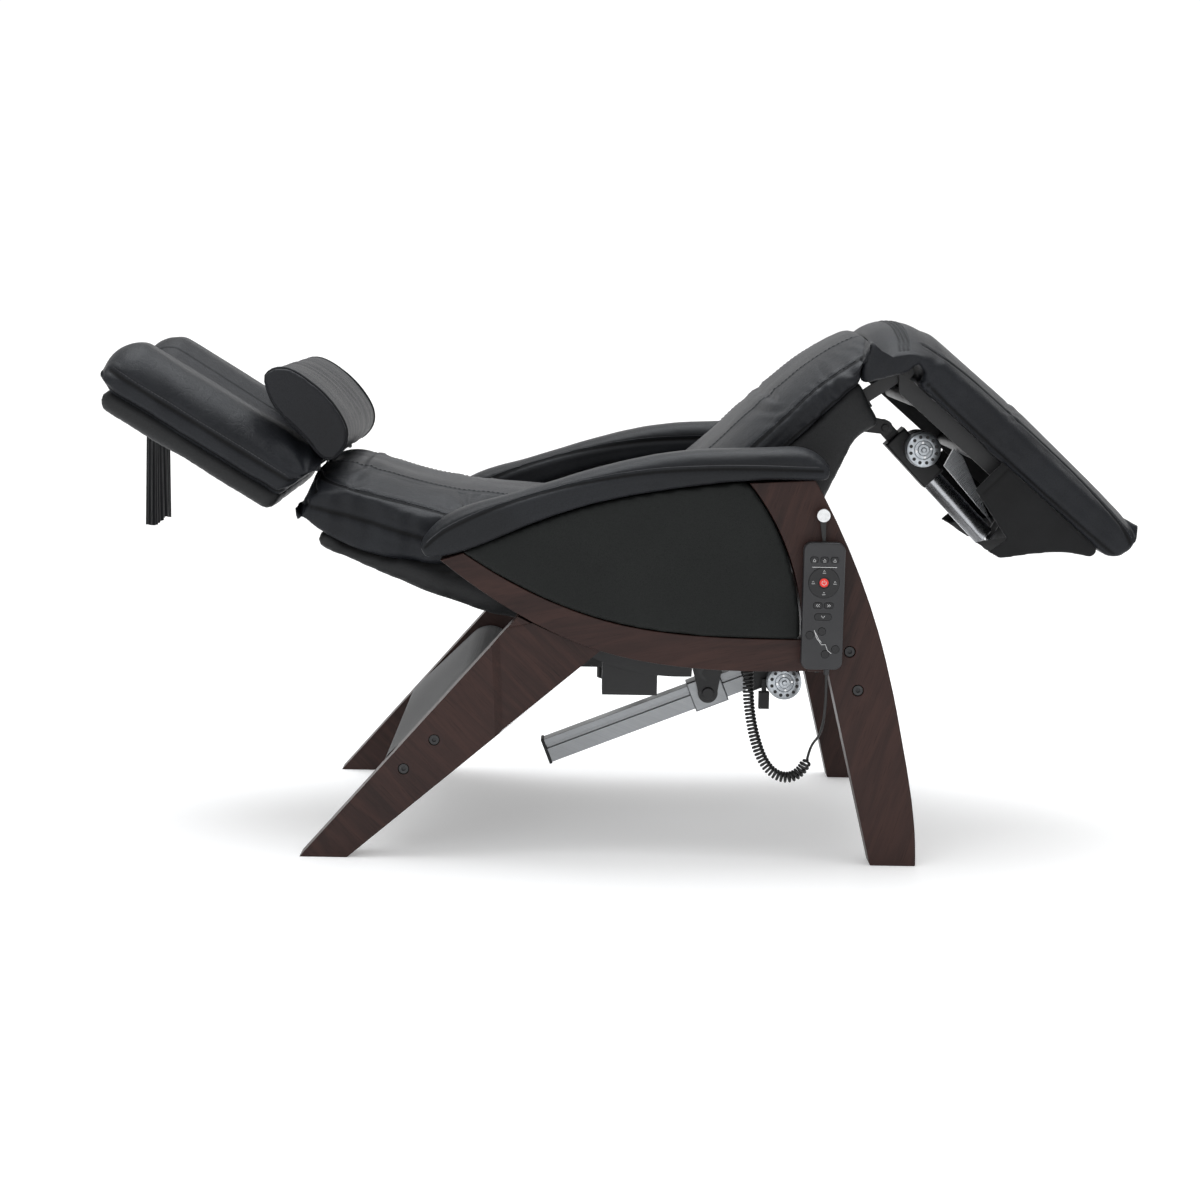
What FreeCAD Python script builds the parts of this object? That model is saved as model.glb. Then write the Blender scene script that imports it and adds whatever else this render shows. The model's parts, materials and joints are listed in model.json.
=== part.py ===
import FreeCAD, Part
import math
import os

from FreeCAD import Vector

# Powered zero gravity recliner, shown fully reclined: a wooden base with padded arms, a one-piece
# back-and-seat unit hinged at the hip, a leg rest hinged at the knee, and a linear actuator for each.
# Millimetres. +X points to the feet, +Y to the sitter's left, +Z up. The origin lies on the floor
# under the middle of the chair. "right" is the -Y side, which carries the handset.

# ---- driving dimensions -------------------------------------------------------------------------
FRAME_WIDTH = 740.0        # over the outer faces of the wooden sides
BOARD = 50.0               # thickness of the legs and curved rails
SIDE_GAP = 35.0            # between a wooden side and the cushions
PAD_OVERHANG = 30.0        # arm pad beyond the outer face of the wood
PAD_INSET = 15.0           # arm pad beyond the inner face of the wood
PANEL_PROUD = 5.0          # upholstered side panel beyond the outer face of the wood
PANEL_THICKNESS = 45.0
SEAT_HEIGHT = 430.0        # hip axis above the floor
HIP_X = 22.5
REAR_FOOT_X = -500.5       # heel of the rear leg on the floor
FRONT_FOOT_X = 485.5       # toe of the front leg on the floor
REAR_FOOT_LENGTH = 76.0
FRONT_FOOT_LENGTH = 73.0
PILLOW_WIDTH = 520.0
STRAP_WIDTH = 216.0
STRAP_FOOT_Z = 497.0       # lower end of the pillow strap
BACK_LENGTH = 370.0        # head cushion, along the back
LEG_REST_LENGTH = 458.0    # from the knee axis to the end of the leg rest
CUSHION_EDGE = 22.0        # edge radius of the upholstery
RAIL_HEIGHT = 42.0         # aluminium rail of the recline actuator
RAIL_WIDTH = 36.0
RAIL_LENGTH = 362.0
TUBE_RADIUS = 18.5         # outer tube of the leg actuator
ROD_RADIUS = 11.0
MOTOR_RADIUS = 28.5
HANDSET_WIDTH = 65.0
HANDSET_LENGTH = 201.0
HANDSET_THICKNESS = 20.0
HIP_PIN_RADIUS = 10.0
KNEE_PIN_RADIUS = 6.0
BOLT_RADIUS = 5.0
BOLT_HEAD_RADIUS = 8.0
CORD_RADIUS = 2.5
COIL_RADIUS = 9.5

# ---- named clearances ---------------------------------------------------------------------------
RUNNING = 0.05             # shaft in its hole, on the radius
SLIDING = 0.5              # between parts that pass each other
SOFT_GAP = 0.5             # between soft solids and what they lie on
SEATED = 0.3               # between a hanging piece and its support

# ---- places that follow from the sizes ----------------------------------------------------------
OUTER_Y = FRAME_WIDTH / 2
INNER_Y = OUTER_Y - BOARD
CUSHION_Y = INNER_Y - SIDE_GAP
SHELL_Y = CUSHION_Y - 15.0
BRACKET_THICKNESS = 8.0

KNEE_FROM_HIP = (438.0, 355.0)
BACK_SLOPE = -31.0         # degrees, from the head down to the crease
LEG_SLOPE = -40.7
KNUCKLE_RADIUS = 76.0      # rounded knee end of the leg cushion
KNUCKLE_BORE = 24.0        # clears the hinge eyes inside the knee


def from_hip(x, z):
    return (HIP_X + x, SEAT_HEIGHT + z)


HIP = from_hip(0.0, 0.0)
KNEE = from_hip(*KNEE_FROM_HIP)


def polar(centre, radius, degrees):
    angle = math.radians(degrees)
    return (centre[0] + radius * math.cos(angle), centre[1] + radius * math.sin(angle))


class Section:
    """A straight stretch of the chair, seen from the side: a place and a slope."""

    def __init__(self, origin, slope):
        self.origin = origin
        self.slope = slope

    def at(self, along, up):
        start = polar(self.origin, along, self.slope)
        return polar(start, up, self.slope + 90.0)


BACK = Section(from_hip(-518.8, 168.0), BACK_SLOPE)
LEG = Section(KNEE, LEG_SLOPE)


# ---- geometry helpers ---------------------------------------------------------------------------
def edge_through(points, y):
    """A straight edge for two points of the XZ plane, a smooth curve for more."""
    places = [Vector(x, y, z) for x, z in points]
    if len(places) == 2:
        return Part.makeLine(places[0], places[1])
    curve = Part.BSplineCurve()
    curve.interpolate(places)
    return curve.toShape()


def outline(start, *runs, y=0.0):
    """Closed face in the XZ plane. Each run lists the points that follow on one line or curve."""
    edges = []
    here = start
    for run in runs:
        edges.append(edge_through([here] + list(run), y))
        here = run[-1]
    if math.dist(here, start) > 1e-6:
        edges.append(edge_through([here, start], y))
    return Part.Face(Part.Wire(edges))


def slab(y_low, y_high, start, *runs):
    """Side outline given thickness between two Y values."""
    return outline(start, *runs, y=y_low).extrude(Vector(0, y_high - y_low, 0))


def polygon(y_low, y_high, points):
    return slab(y_low, y_high, points[0], *[[point] for point in points[1:]])


def box(x, y, z):
    """Box from three (low, high) pairs."""
    size = (x[1] - x[0], y[1] - y[0], z[1] - z[0])
    return Part.makeBox(*size, Vector(x[0], y[0], z[0]))


def cross_cylinder(centre, radius, y_low, y_high):
    """Cylinder along Y through a point of the XZ plane."""
    return Part.makeCylinder(radius, y_high - y_low, Vector(centre[0], y_low, centre[1]), Vector(0, 1, 0))


def tilted_box(section, along, y, up):
    """Box that lies along a section's slope."""
    corners = [(along[0], up[0]), (along[1], up[0]), (along[1], up[1]), (along[0], up[1])]
    return polygon(y[0], y[1], [section.at(*corner) for corner in corners])


def mirrored(shape):
    return shape.mirror(Vector(0, 0, 0), Vector(0, 1, 0))


def joined(*shapes):
    return shapes[0].multiFuse(list(shapes[1:])).removeSplitter()


def edges_on_plane_y(shape, *planes):
    """Edges that lie wholly in one of the planes y = value."""
    def lies(edge, plane):
        return abs(edge.BoundBox.YMin - plane) < 1e-3 and abs(edge.BoundBox.YMax - plane) < 1e-3
    return [edge for edge in shape.Edges if any(lies(edge, plane) for plane in planes)]


def rounded_at(shape, radius, *planes):
    """The shape with its edges in those planes rounded, by a slightly smaller radius where it won't close."""
    for share in (1.0, 0.98, 0.95, 0.92, 0.85, 0.75):
        rounded = shape.makeFillet(share * radius, edges_on_plane_y(shape, *planes))
        if rounded.isValid():
            break
    return rounded


NODES = {}


def both_sides(name, shape):
    """The piece of the right (-Y) side and its mirror image on the left."""
    NODES[name + "_right"] = shape
    NODES[name + "_left"] = mirrored(shape)


# ---- wooden base --------------------------------------------------------------------------------
WOOD_EDGE = 4.0
PANEL_GAP = 1.0            # shadow line between panel and wood
LEG_RECESS = 10.0          # the rear leg's upper end is this much thinner
REAR_FOOT = (REAR_FOOT_X, 0.0)
REAR_LEG_HEAD = from_hip(-179.0, -37.0)
REAR_LEG_SHOULDER = from_hip(-48.0, -91.0)
FRONT_FOOT = (FRONT_FOOT_X, 0.0)
FRONT_LEG_HEAD = from_hip(285.0, 187.0)
FRONT_LEG_BACK = from_hip(314.0, -117.0)
RAIL_END_X = 270.0         # front end of the curved rail, from the hip

# the curved rail, from its rear tip to the front leg
RAIL_LOWER = [from_hip(-303.0, 51.0), from_hip(-191.0, -26.0), from_hip(-60.0, -86.0),
              from_hip(79.0, -113.0), from_hip(RAIL_END_X + 10.0, -116.0)]
RAIL_UPPER = [from_hip(-266.0, 63.0), from_hip(-144.0, -5.0), from_hip(-17.0, -47.0),
              from_hip(109.0, -63.0), from_hip(RAIL_END_X, -66.0)]
# underside of the arm pad, from its rear tip to its front end
PAD_LOWER = [from_hip(-325.0, 56.0), from_hip(-270.0, 66.0), from_hip(-177.0, 105.0),
             from_hip(-54.0, 148.0), from_hip(71.0, 173.0), from_hip(170.0, 185.0), from_hip(300.0, 188.0)]
PAD_UPPER = [from_hip(306.0, 205.0), from_hip(285.0, 230.0), from_hip(227.0, 237.0), from_hip(71.0, 228.0),
             from_hip(-85.0, 191.0), from_hip(-209.0, 152.0), from_hip(-295.0, 120.0),
             from_hip(-334.0, 78.0)]
PANEL_FRONT = [from_hip(RAIL_END_X - 2.0, -66.0), from_hip(262.0, 0.0), from_hip(231.0, 98.0),
               from_hip(178.0, 181.0)]


def inset(points, dx, dz):
    return [(x + dx, z + dz) for x, z in points]


def between(a, b, share):
    return (a[0] + share * (b[0] - a[0]), a[1] + share * (b[1] - a[1]))


REAR_LEG_CENTRE = [(REAR_FOOT_X + REAR_FOOT_LENGTH / 2, 0.0), between(REAR_LEG_HEAD, REAR_LEG_SHOULDER, 0.5)]
REAR_BEAM_LOW = between(*REAR_LEG_CENTRE, 0.36)
REAR_BEAM_HIGH = between(*REAR_LEG_CENTRE, 0.64)
REAR_BEAM_RADIUS = 44.0
FRONT_BEAM = (FRONT_FOOT_X - 109.0, SEAT_HEIGHT - 115.0)
FRONT_BEAM_WIDTH = 44.0
FRONT_BEAM_HEIGHT = 92.0
REAR_BOLTS = inset([between(*REAR_LEG_CENTRE, share) for share in (0.37, 0.50)], -10.0, 10.0)
FRONT_BOLTS = [(FRONT_BEAM[0] - 7.0, FRONT_BEAM[1] + 31.0), (FRONT_BEAM[0] + 8.0, FRONT_BEAM[1] - 31.0)]
BOLT_LENGTH = BOARD + 45.0
BOLT_HEAD_DEPTH = 6.0


def bolt(place, outer_y):
    """Socket-headed bolt of the right side, its head sunk just under the outer face."""
    head = cross_cylinder(place, BOLT_HEAD_RADIUS, outer_y + 1.0, outer_y + 1.0 + BOLT_HEAD_DEPTH)
    socket = cross_cylinder(place, BOLT_HEAD_RADIUS * 0.4, outer_y + 1.0, outer_y + 4.0)
    shank = cross_cylinder(place, BOLT_RADIUS, outer_y + BOLT_HEAD_DEPTH, outer_y + BOLT_LENGTH)
    return joined(head, shank).cut(socket)


def bolt_hole(place, outer_y):
    counterbore = cross_cylinder(place, BOLT_HEAD_RADIUS + 1.0, outer_y - 1.0, outer_y + 1.0 + BOLT_HEAD_DEPTH)
    bore = cross_cylinder(place, BOLT_RADIUS + SEATED, outer_y, outer_y + BOLT_LENGTH + 2.0)
    return counterbore.fuse(bore)


def front_leg():
    blank = slab(-OUTER_Y, -INNER_Y, FRONT_LEG_HEAD,
                 [from_hip(342.0, 77.0), from_hip(394.0, -59.0), (FRONT_FOOT_X - 23.0, 181.0),
                  (FRONT_FOOT_X - 3.0, 60.0), FRONT_FOOT],
                 [(FRONT_FOOT_X - FRONT_FOOT_LENGTH, 0.0)],
                 [(FRONT_FOOT_X - 100.0, 107.0), (FRONT_FOOT_X - 131.0, 236.0), FRONT_LEG_BACK],
                 [from_hip(RAIL_END_X + 11.0, -117.0)],
                 [from_hip(RAIL_END_X + 1.0, -66.0)],
                 inset(PANEL_FRONT, PANEL_GAP + 2.0, 0.0)[1:])
    for place in FRONT_BOLTS:
        blank = blank.cut(bolt_hole(place, -OUTER_Y))
    return blank


def rear_leg():
    """Straight tapered board. Its upper end is set back behind a sloped step, under the rail."""
    blank = slab(-OUTER_Y, -INNER_Y, REAR_FOOT, [REAR_LEG_HEAD], [from_hip(-112.0, -68.0), REAR_LEG_SHOULDER],
                 [(REAR_FOOT_X + REAR_FOOT_LENGTH, 0.0)])
    step_low = from_hip(-214.0, -230.0)
    step_high = from_hip(-222.0, -60.0)
    ramp = 14.0
    far_corner = from_hip(60.0, 0.0)
    recess = Part.makeLoft([
        Part.makePolygon([Vector(x, -OUTER_Y - 1.0, z) for x, z in
                          (step_low, far_corner, step_high, step_low)]),
        Part.makePolygon([Vector(x, -OUTER_Y + LEG_RECESS, z) for x, z in
                          ((step_low[0] + ramp, step_low[1]), far_corner,
                           (step_high[0] + ramp, step_high[1]), (step_low[0] + ramp, step_low[1]))]),
    ], True, True)
    leg = blank.cut(recess)
    for place in REAR_BOLTS:
        leg = leg.cut(bolt_hole(place, -OUTER_Y))
    return leg


def curved_rail():
    # the rail's lower face clears the rear leg by a thin shadow gap
    return slab(-OUTER_Y, -INNER_Y, RAIL_LOWER[0], RAIL_LOWER[1:], [RAIL_UPPER[-1]], RAIL_UPPER[-2::-1])


PANEL_INNER_Y = -OUTER_Y - PANEL_PROUD + PANEL_THICKNESS


def side_panel():
    """Upholstered board between pad, front leg and rail. The hip pin turns in its bore."""
    bottom = inset(RAIL_UPPER, 0.0, PANEL_GAP)
    top = inset(PAD_LOWER[1:6], 0.0, -2.5 * PANEL_GAP)
    blank = slab(-OUTER_Y - PANEL_PROUD, PANEL_INNER_Y, bottom[0], bottom[1:-1] + [PANEL_FRONT[0]],
                 PANEL_FRONT[1:], [(PANEL_FRONT[-1][0] - 8.0, top[-1][1])], top[-2::-1])
    face_edges = edges_on_plane_y(blank, -OUTER_Y - PANEL_PROUD)
    front_edges = [edge for edge in face_edges if edge.BoundBox.XMax > HIP_X and edge.BoundBox.ZLength < 100.0]
    panel = blank.makeChamfer(PANEL_PROUD - 1.0, front_edges)
    bore = cross_cylinder(HIP, HIP_PIN_RADIUS + RUNNING, PANEL_INNER_Y - PIN_DEPTH - 1.0, PANEL_INNER_Y + 1.0)
    return panel.cut(bore)


PIN_DEPTH = 25.0           # how far the hip pin reaches into the side panel


def arm_pad():
    return slab(-OUTER_Y - PAD_OVERHANG, -INNER_Y + PAD_INSET, PAD_LOWER[0], PAD_LOWER[1:],
                PAD_UPPER, [PAD_LOWER[0]])


def make_base():
    both_sides("front_leg", front_leg())
    both_sides("rear_leg", rear_leg())
    both_sides("curved_rail", curved_rail())
    both_sides("side_panel", side_panel())
    both_sides("arm_pad", arm_pad())
    front_beam = box((FRONT_BEAM[0] - FRONT_BEAM_WIDTH / 2, FRONT_BEAM[0] + FRONT_BEAM_WIDTH / 2),
                     (-INNER_Y, INNER_Y),
                     (FRONT_BEAM[1] - FRONT_BEAM_HEIGHT / 2, FRONT_BEAM[1] + FRONT_BEAM_HEIGHT / 2))
    lengthways = [edge for edge in front_beam.Edges if edge.BoundBox.YLength > INNER_Y]
    front_beam = front_beam.makeFillet(WOOD_EDGE, lengthways)
    rear_beam = joined(
        cross_cylinder(REAR_BEAM_LOW, REAR_BEAM_RADIUS, -INNER_Y, INNER_Y),
        cross_cylinder(REAR_BEAM_HIGH, REAR_BEAM_RADIUS, -INNER_Y, INNER_Y),
        tilted_box(Section(REAR_BEAM_LOW, slope_of(REAR_BEAM_LOW, REAR_BEAM_HIGH)),
                   (0.0, math.dist(REAR_BEAM_LOW, REAR_BEAM_HIGH)), (-INNER_Y, INNER_Y),
                   (-REAR_BEAM_RADIUS, REAR_BEAM_RADIUS)))
    bolts = []
    for places, kind in ((FRONT_BOLTS, "front"), (REAR_BOLTS, "rear")):
        for place in places:
            right = bolt(place, -OUTER_Y)
            hole = bolt_hole(place, -OUTER_Y)
            bolts += [right, mirrored(right)]
            if kind == "front":
                front_beam = front_beam.cut(hole).cut(mirrored(hole))
            else:
                rear_beam = rear_beam.cut(hole).cut(mirrored(hole))
    NODES["front_crossbeam"] = front_beam
    NODES["rear_crossbeam"] = rear_beam
    NODES["crossbeam_bolts"] = Part.makeCompound(bolts)


def slope_of(a, b):
    return math.degrees(math.atan2(b[1] - a[1], b[0] - a[0]))


# ---- back and seat unit -------------------------------------------------------------------------
BACK_FLOOR = -52.0         # underside of the head cushion, from its side seam
CREASE_FOOT = -31.0        # foot of the crease, along the back
SHELL_THICKNESS = 22.0
HEAD_BOLSTER = 38.0        # head cushion above its side seam
SEAT_TOP = [from_hip(-478.0, 190.0), from_hip(-400.0, 172.0), from_hip(-305.0, 148.0),
            from_hip(-170.0, 136.0), from_hip(-30.0, 136.0), from_hip(80.0, 182.0), from_hip(170.0, 260.0),
            from_hip(260.0, 345.0), from_hip(380.0, 418.0)]
SEAT_TOP_START = from_hip(-514.0, 182.0)
SEAT_BOTTOM = [from_hip(277.0, 260.0), from_hip(130.0, 125.0), from_hip(-10.0, 42.0), from_hip(-150.0, 22.0),
               from_hip(-324.0, 36.0), from_hip(-437.0, 54.0), from_hip(-502.0, 84.0)]
SEAT_BOTTOM_END = from_hip(-545.0, 118.0)
SHELL_FLAT_Z = SEAT_HEIGHT - 58.0      # level underside that carries the brackets
SOCKET_RADIUS = KNUCKLE_RADIUS + 1.0
SOCKET_TOP = polar(KNEE, SOCKET_RADIUS, 138.9)
SOCKET_END = polar(KNEE, SOCKET_RADIUS, 192.0)


def back_cushion():
    body = slab(-CUSHION_Y, CUSHION_Y, BACK.at(6.0, HEAD_BOLSTER),
                [BACK.at(-BACK_LENGTH + 26.0, HEAD_BOLSTER)],
                [BACK.at(-BACK_LENGTH - 4.0, 8.0), BACK.at(-BACK_LENGTH - 8.0, -28.0)],
                [BACK.at(-BACK_LENGTH + 30.0, BACK_FLOOR)], [BACK.at(CREASE_FOOT, BACK_FLOOR)])
    return rounded_at(body, CUSHION_EDGE, -CUSHION_Y, CUSHION_Y)


def back_shell():
    """Fabric-covered board under the head cushion."""
    top = BACK_FLOOR - SOFT_GAP
    body = slab(-SHELL_Y, SHELL_Y, BACK.at(CREASE_FOOT, top), [BACK.at(-BACK_LENGTH + 34.0, top)],
                [BACK.at(-BACK_LENGTH + 22.0, top - 8.0)],
                [BACK.at(-BACK_LENGTH + 34.0, top - SHELL_THICKNESS)],
                [BACK.at(CREASE_FOOT - 4.0, top - SHELL_THICKNESS)])
    return rounded_at(body, 6.0, -SHELL_Y, SHELL_Y)


def seat_cushion():
    arc_top = Vector(SOCKET_TOP[0], -CUSHION_Y, SOCKET_TOP[1])
    body = outline(SEAT_TOP_START, SEAT_TOP, [SOCKET_TOP], [polar(KNEE, SOCKET_RADIUS, 165.0), SOCKET_END],
                   SEAT_BOTTOM, [SEAT_BOTTOM_END], y=arc_top.y).extrude(Vector(0, 2 * CUSHION_Y, 0))
    knee_room = cross_cylinder(KNEE, SOCKET_RADIUS, -CUSHION_Y - 1.0, CUSHION_Y + 1.0)
    return body.cut(knee_room)


def seat_shell():
    """Fabric-covered base of the seat, between the cushion and the brackets."""
    top = inset(SEAT_BOTTOM[::-1], 0.0, -SOFT_GAP - 1.0)
    lower = SHELL_FLAT_Z
    start = (SOCKET_END[0] - 1.0, SOCKET_END[1] - 3.0)
    body = slab(-SHELL_Y, SHELL_Y, top[0], top[1:] + [start],
                [polar(KNEE, SOCKET_RADIUS + 6.0, 212.0), polar(KNEE, SOCKET_RADIUS + 16.0, 240.0)],
                [from_hip(354.0, 251.0)],
                [from_hip(313.0, 168.0), (HIP_X + 225.0, lower)],
                [(HIP_X - 140.0, lower)],
                [from_hip(-243.0, -36.0), from_hip(-389.0, 17.0), from_hip(-500.0, 62.0)])
    knee_room = cross_cylinder(KNEE, SOCKET_RADIUS, -CUSHION_Y, CUSHION_Y)
    return body.cut(knee_room)


HIP_PLATE_Y = SHELL_Y + SEATED         # inner face of the hip plate, on the shell's side


def hip_bracket():
    """Steel plate on the side of the seat shell, with the hip pin."""
    plate = slab(-HIP_PLATE_Y - BRACKET_THICKNESS, -HIP_PLATE_Y, from_hip(-120.0, 0.0),
                 [from_hip(-20.0, -28.0)], [from_hip(20.0, -28.0)], [from_hip(120.0, 0.0)],
                 [from_hip(120.0, 8.0)], [from_hip(-120.0, 8.0)])
    collar = cross_cylinder(HIP, HIP_PIN_RADIUS + 8.0, PANEL_INNER_Y + SLIDING, -HIP_PLATE_Y - BRACKET_THICKNESS)
    pin = cross_cylinder(HIP, HIP_PIN_RADIUS, PANEL_INNER_Y - PIN_DEPTH, PANEL_INNER_Y + SLIDING)
    return joined(plate, collar, pin)


# ---- recline actuator ---------------------------------------------------------------------------
CLEVIS_PIN = (FRONT_BEAM[0] - 46.0, FRONT_BEAM[1] - 31.0)
SLIDER_PIN = from_hip(142.0, -212.0)
DRIVE_SLOPE = slope_of(CLEVIS_PIN, SLIDER_PIN)
DRIVE = Section(CLEVIS_PIN, DRIVE_SLOPE)    # along = away from the clevis, down to the rear
SLIDER_AT = math.dist(CLEVIS_PIN, SLIDER_PIN)
SLIDER_LENGTH = 60.0
SLIDER_WALL = 5.0
RAIL_START = 112.0         # rail begins here, inside the gearbox mouth
CLEVIS_PIN_RADIUS = 6.0
EYE_RADIUS = 14.0
GEARBOX_Y = 25.0
LINK_PLATE_Y = 30.0        # inner face of the recline bracket's plates
LINK_PLATE = 6.0
BOSS_RADIUS = 13.0


def clevis():
    """Two ears on a plate on the rear face of the front crossbeam, with the pin."""
    face_x = FRONT_BEAM[0] - FRONT_BEAM_WIDTH / 2
    ear_z = (CLEVIS_PIN[1] - 20.0, CLEVIS_PIN[1] + 20.0)
    plate = box((face_x - 6.0, face_x), (-40.0, 40.0), (ear_z[0] - 6.0, ear_z[1] + 6.0))
    parts = [plate]
    for side in (-1, 1):
        low, high = sorted((side * (EYE_HALF + SLIDING), side * (EYE_HALF + SLIDING + BRACKET_THICKNESS)))
        ear = polygon(low, high, [(face_x - 3.0, ear_z[0]), (face_x - 3.0, ear_z[1]),
                                  (CLEVIS_PIN[0] - 2.0, CLEVIS_PIN[1] + 13.0),
                                  (CLEVIS_PIN[0] - 2.0, CLEVIS_PIN[1] - 13.0)])
        parts.append(ear)
        parts.append(cross_cylinder(CLEVIS_PIN, 13.0, low, high))
    reach = EYE_HALF + SLIDING + BRACKET_THICKNESS + 4.0
    parts.append(cross_cylinder(CLEVIS_PIN, CLEVIS_PIN_RADIUS, -reach, reach))
    return joined(*parts)


EYE_HALF = 10.0            # half the thickness of the gearbox's eye


def recline_gearbox():
    body = tilted_box(DRIVE, (24.0, RAIL_START), (-GEARBOX_Y, GEARBOX_Y), (-27.0, 27.0))
    body = body.makeFillet(6.0, edges_on_plane_y(body, -GEARBOX_Y, GEARBOX_Y))
    motor_boss = cross_cylinder(RECLINE_MOTOR, MOTOR_RADIUS + 3.0, -GEARBOX_Y, GEARBOX_Y)
    neck = tilted_box(DRIVE, (0.0, 30.0), (-EYE_HALF, EYE_HALF), (-EYE_RADIUS, EYE_RADIUS))
    eye = cross_cylinder(CLEVIS_PIN, EYE_RADIUS, -EYE_HALF, EYE_HALF)
    hole = cross_cylinder(CLEVIS_PIN, CLEVIS_PIN_RADIUS + RUNNING, -EYE_HALF - 1.0, EYE_HALF + 1.0)
    return joined(body, motor_boss, neck, eye).cut(hole)


RECLINE_MOTOR = (CLEVIS_PIN[0] - 37.0, CLEVIS_PIN[1] - 40.0)


def motor(place, length):
    """Flat motor can whose ribbed end faces the right side, with a shallow ring groove."""
    top = -GEARBOX_Y - length
    can = cross_cylinder(place, MOTOR_RADIUS, top + 4.0, -GEARBOX_Y)
    flange = cross_cylinder(place, MOTOR_RADIUS + 1.5, top + 4.0, top + 9.0)
    cap = cross_cylinder(place, MOTOR_RADIUS - 7.0, top, top + 5.0)
    hub = cross_cylinder(place, MOTOR_RADIUS - 18.0, top - 3.0, top + 1.0)
    ring = cross_cylinder(place, MOTOR_RADIUS - 12.0, top - 1.0, top + 2.0)
    ring = ring.cut(cross_cylinder(place, MOTOR_RADIUS - 15.5, top - 2.0, top + 3.0))
    return joined(can, flange, cap, hub).cut(ring)


def recline_rail():
    """Aluminium extrusion with a groove along each side and a screw channel inside."""
    far = RAIL_START + RAIL_LENGTH
    half = RAIL_WIDTH / 2
    rail = tilted_box(DRIVE, (RAIL_START, far), (-half, half), (-RAIL_HEIGHT / 2, RAIL_HEIGHT / 2))
    channel = tilted_box(DRIVE, (RAIL_START - 1.0, far + 1.0), (-8.0, 8.0), (-12.0, 12.0))
    rail = rail.cut(channel)
    for side in (-1, 1):
        low, high = sorted((side * (half - 6.0), side * (half + 1.0)))
        # the groove lies above the middle, which is the section's negative side here
        rail = rail.cut(tilted_box(DRIVE, (RAIL_START - 1.0, far + 1.0), (low, high), (-10.0, -4.0)))
    return rail


def rail_end_cap():
    far = RAIL_START + RAIL_LENGTH
    half = RAIL_WIDTH / 2 + 2.0
    return tilted_box(DRIVE, (far, far + 5.0), (-half, half), (-RAIL_HEIGHT / 2 - 2.0, RAIL_HEIGHT / 2 + 2.0))


def recline_slider():
    """Carriage around the rail, with a boss on each side that the bracket straddles."""
    reach = (SLIDER_AT - SLIDER_LENGTH / 2, SLIDER_AT + SLIDER_LENGTH / 2)
    inner_y = RAIL_WIDTH / 2 + SLIDING
    inner_up = RAIL_HEIGHT / 2 + SLIDING
    outer = tilted_box(DRIVE, reach, (-inner_y - SLIDER_WALL, inner_y + SLIDER_WALL),
                       (-inner_up - SLIDER_WALL, inner_up + SLIDER_WALL))
    outer = outer.makeFillet(3.0, [edge for edge in outer.Edges if edge.BoundBox.YLength < 1.0])
    inner = tilted_box(DRIVE, (reach[0] - 1.0, reach[1] + 1.0), (-inner_y, inner_y), (-inner_up, inner_up))
    block = outer.cut(inner)
    for side in (-1, 1):
        low, high = sorted((side * (inner_y + 1.0), side * (LINK_PLATE_Y - SLIDING)))
        block = block.fuse(cross_cylinder(SLIDER_PIN, BOSS_RADIUS, low, high))
    return block.removeSplitter()


def recline_bracket():
    """Two tapered plates from the seat's underside to the slider, with a bolt head on each."""
    top_z = SHELL_FLAT_Z - SEATED
    parts = [box((SLIDER_PIN[0] - 62.0, SLIDER_PIN[0] + 62.0), (-LINK_PLATE_Y - 24.0, LINK_PLATE_Y + 24.0),
                 (top_z - 6.0, top_z))]
    for side in (-1, 1):
        low, high = sorted((side * LINK_PLATE_Y, side * (LINK_PLATE_Y + LINK_PLATE)))
        head = sorted((side * (LINK_PLATE_Y + LINK_PLATE - 1.0), side * (LINK_PLATE_Y + LINK_PLATE + 6.0)))
        parts.append(polygon(low, high, [(SLIDER_PIN[0] - 55.0, top_z - 5.0), (SLIDER_PIN[0] - 16.0, SLIDER_PIN[1]),
                                         (SLIDER_PIN[0] + 16.0, SLIDER_PIN[1]), (SLIDER_PIN[0] + 42.0, top_z - 5.0)]))
        parts.append(cross_cylinder(SLIDER_PIN, 17.0, low, high))
        parts.append(cross_cylinder(SLIDER_PIN, 10.0, *head))
    return joined(*parts)


def motor_plug():
    """Connector that hangs under the recline motor's can."""
    x = RECLINE_MOTOR[0] - 33.0
    top = RECLINE_MOTOR[1] - 20.0
    plug = box((x - 9.0, x + 9.0), (-52.0, -34.0), (top - 29.0, top))
    stem = box((x - 4.0, x + 4.0), (-47.0, -39.0), (top - 1.0, top + 22.0))
    arm = box((x - 4.0, RECLINE_MOTOR[0] - 25.0), (-47.0, -39.0), (top + 14.0, top + 22.0))
    body = joined(plug, stem, arm)
    return body.cut(cross_cylinder(RECLINE_MOTOR, MOTOR_RADIUS + SEATED, -120.0, 0.0))


# ---- leg rest and its actuator ------------------------------------------------------------------
LEG_MOUNT = LEG.at(66.0, -81.5)        # upper pin of the leg actuator, on the seat
LEG_PIN = LEG.at(342.0, -107.0)        # lower pin, on the leg rest
LEG_DRIVE_SLOPE = slope_of(LEG_MOUNT, LEG_PIN)
LEG_DRIVE = Section(LEG_MOUNT, LEG_DRIVE_SLOPE)
LEG_DRIVE_LENGTH = math.dist(LEG_MOUNT, LEG_PIN)
LEG_CUSHION_BOTTOM = -4.0
LEG_CUSHION_TOP = 82.0
LEG_RAIL_Y = CUSHION_Y - 62.0          # inner face of the leg frame's side plates
LEG_RAIL_TOP = LEG_CUSHION_BOTTOM - SOFT_GAP
LEG_RAIL_DEPTH = 28.0
CROSS_TUBE_RADIUS = 11.0
CROSS_TUBE_UP = LEG_RAIL_TOP - 13.0
CROSS_TUBES = (60.0, 190.0, 332.0)
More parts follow.
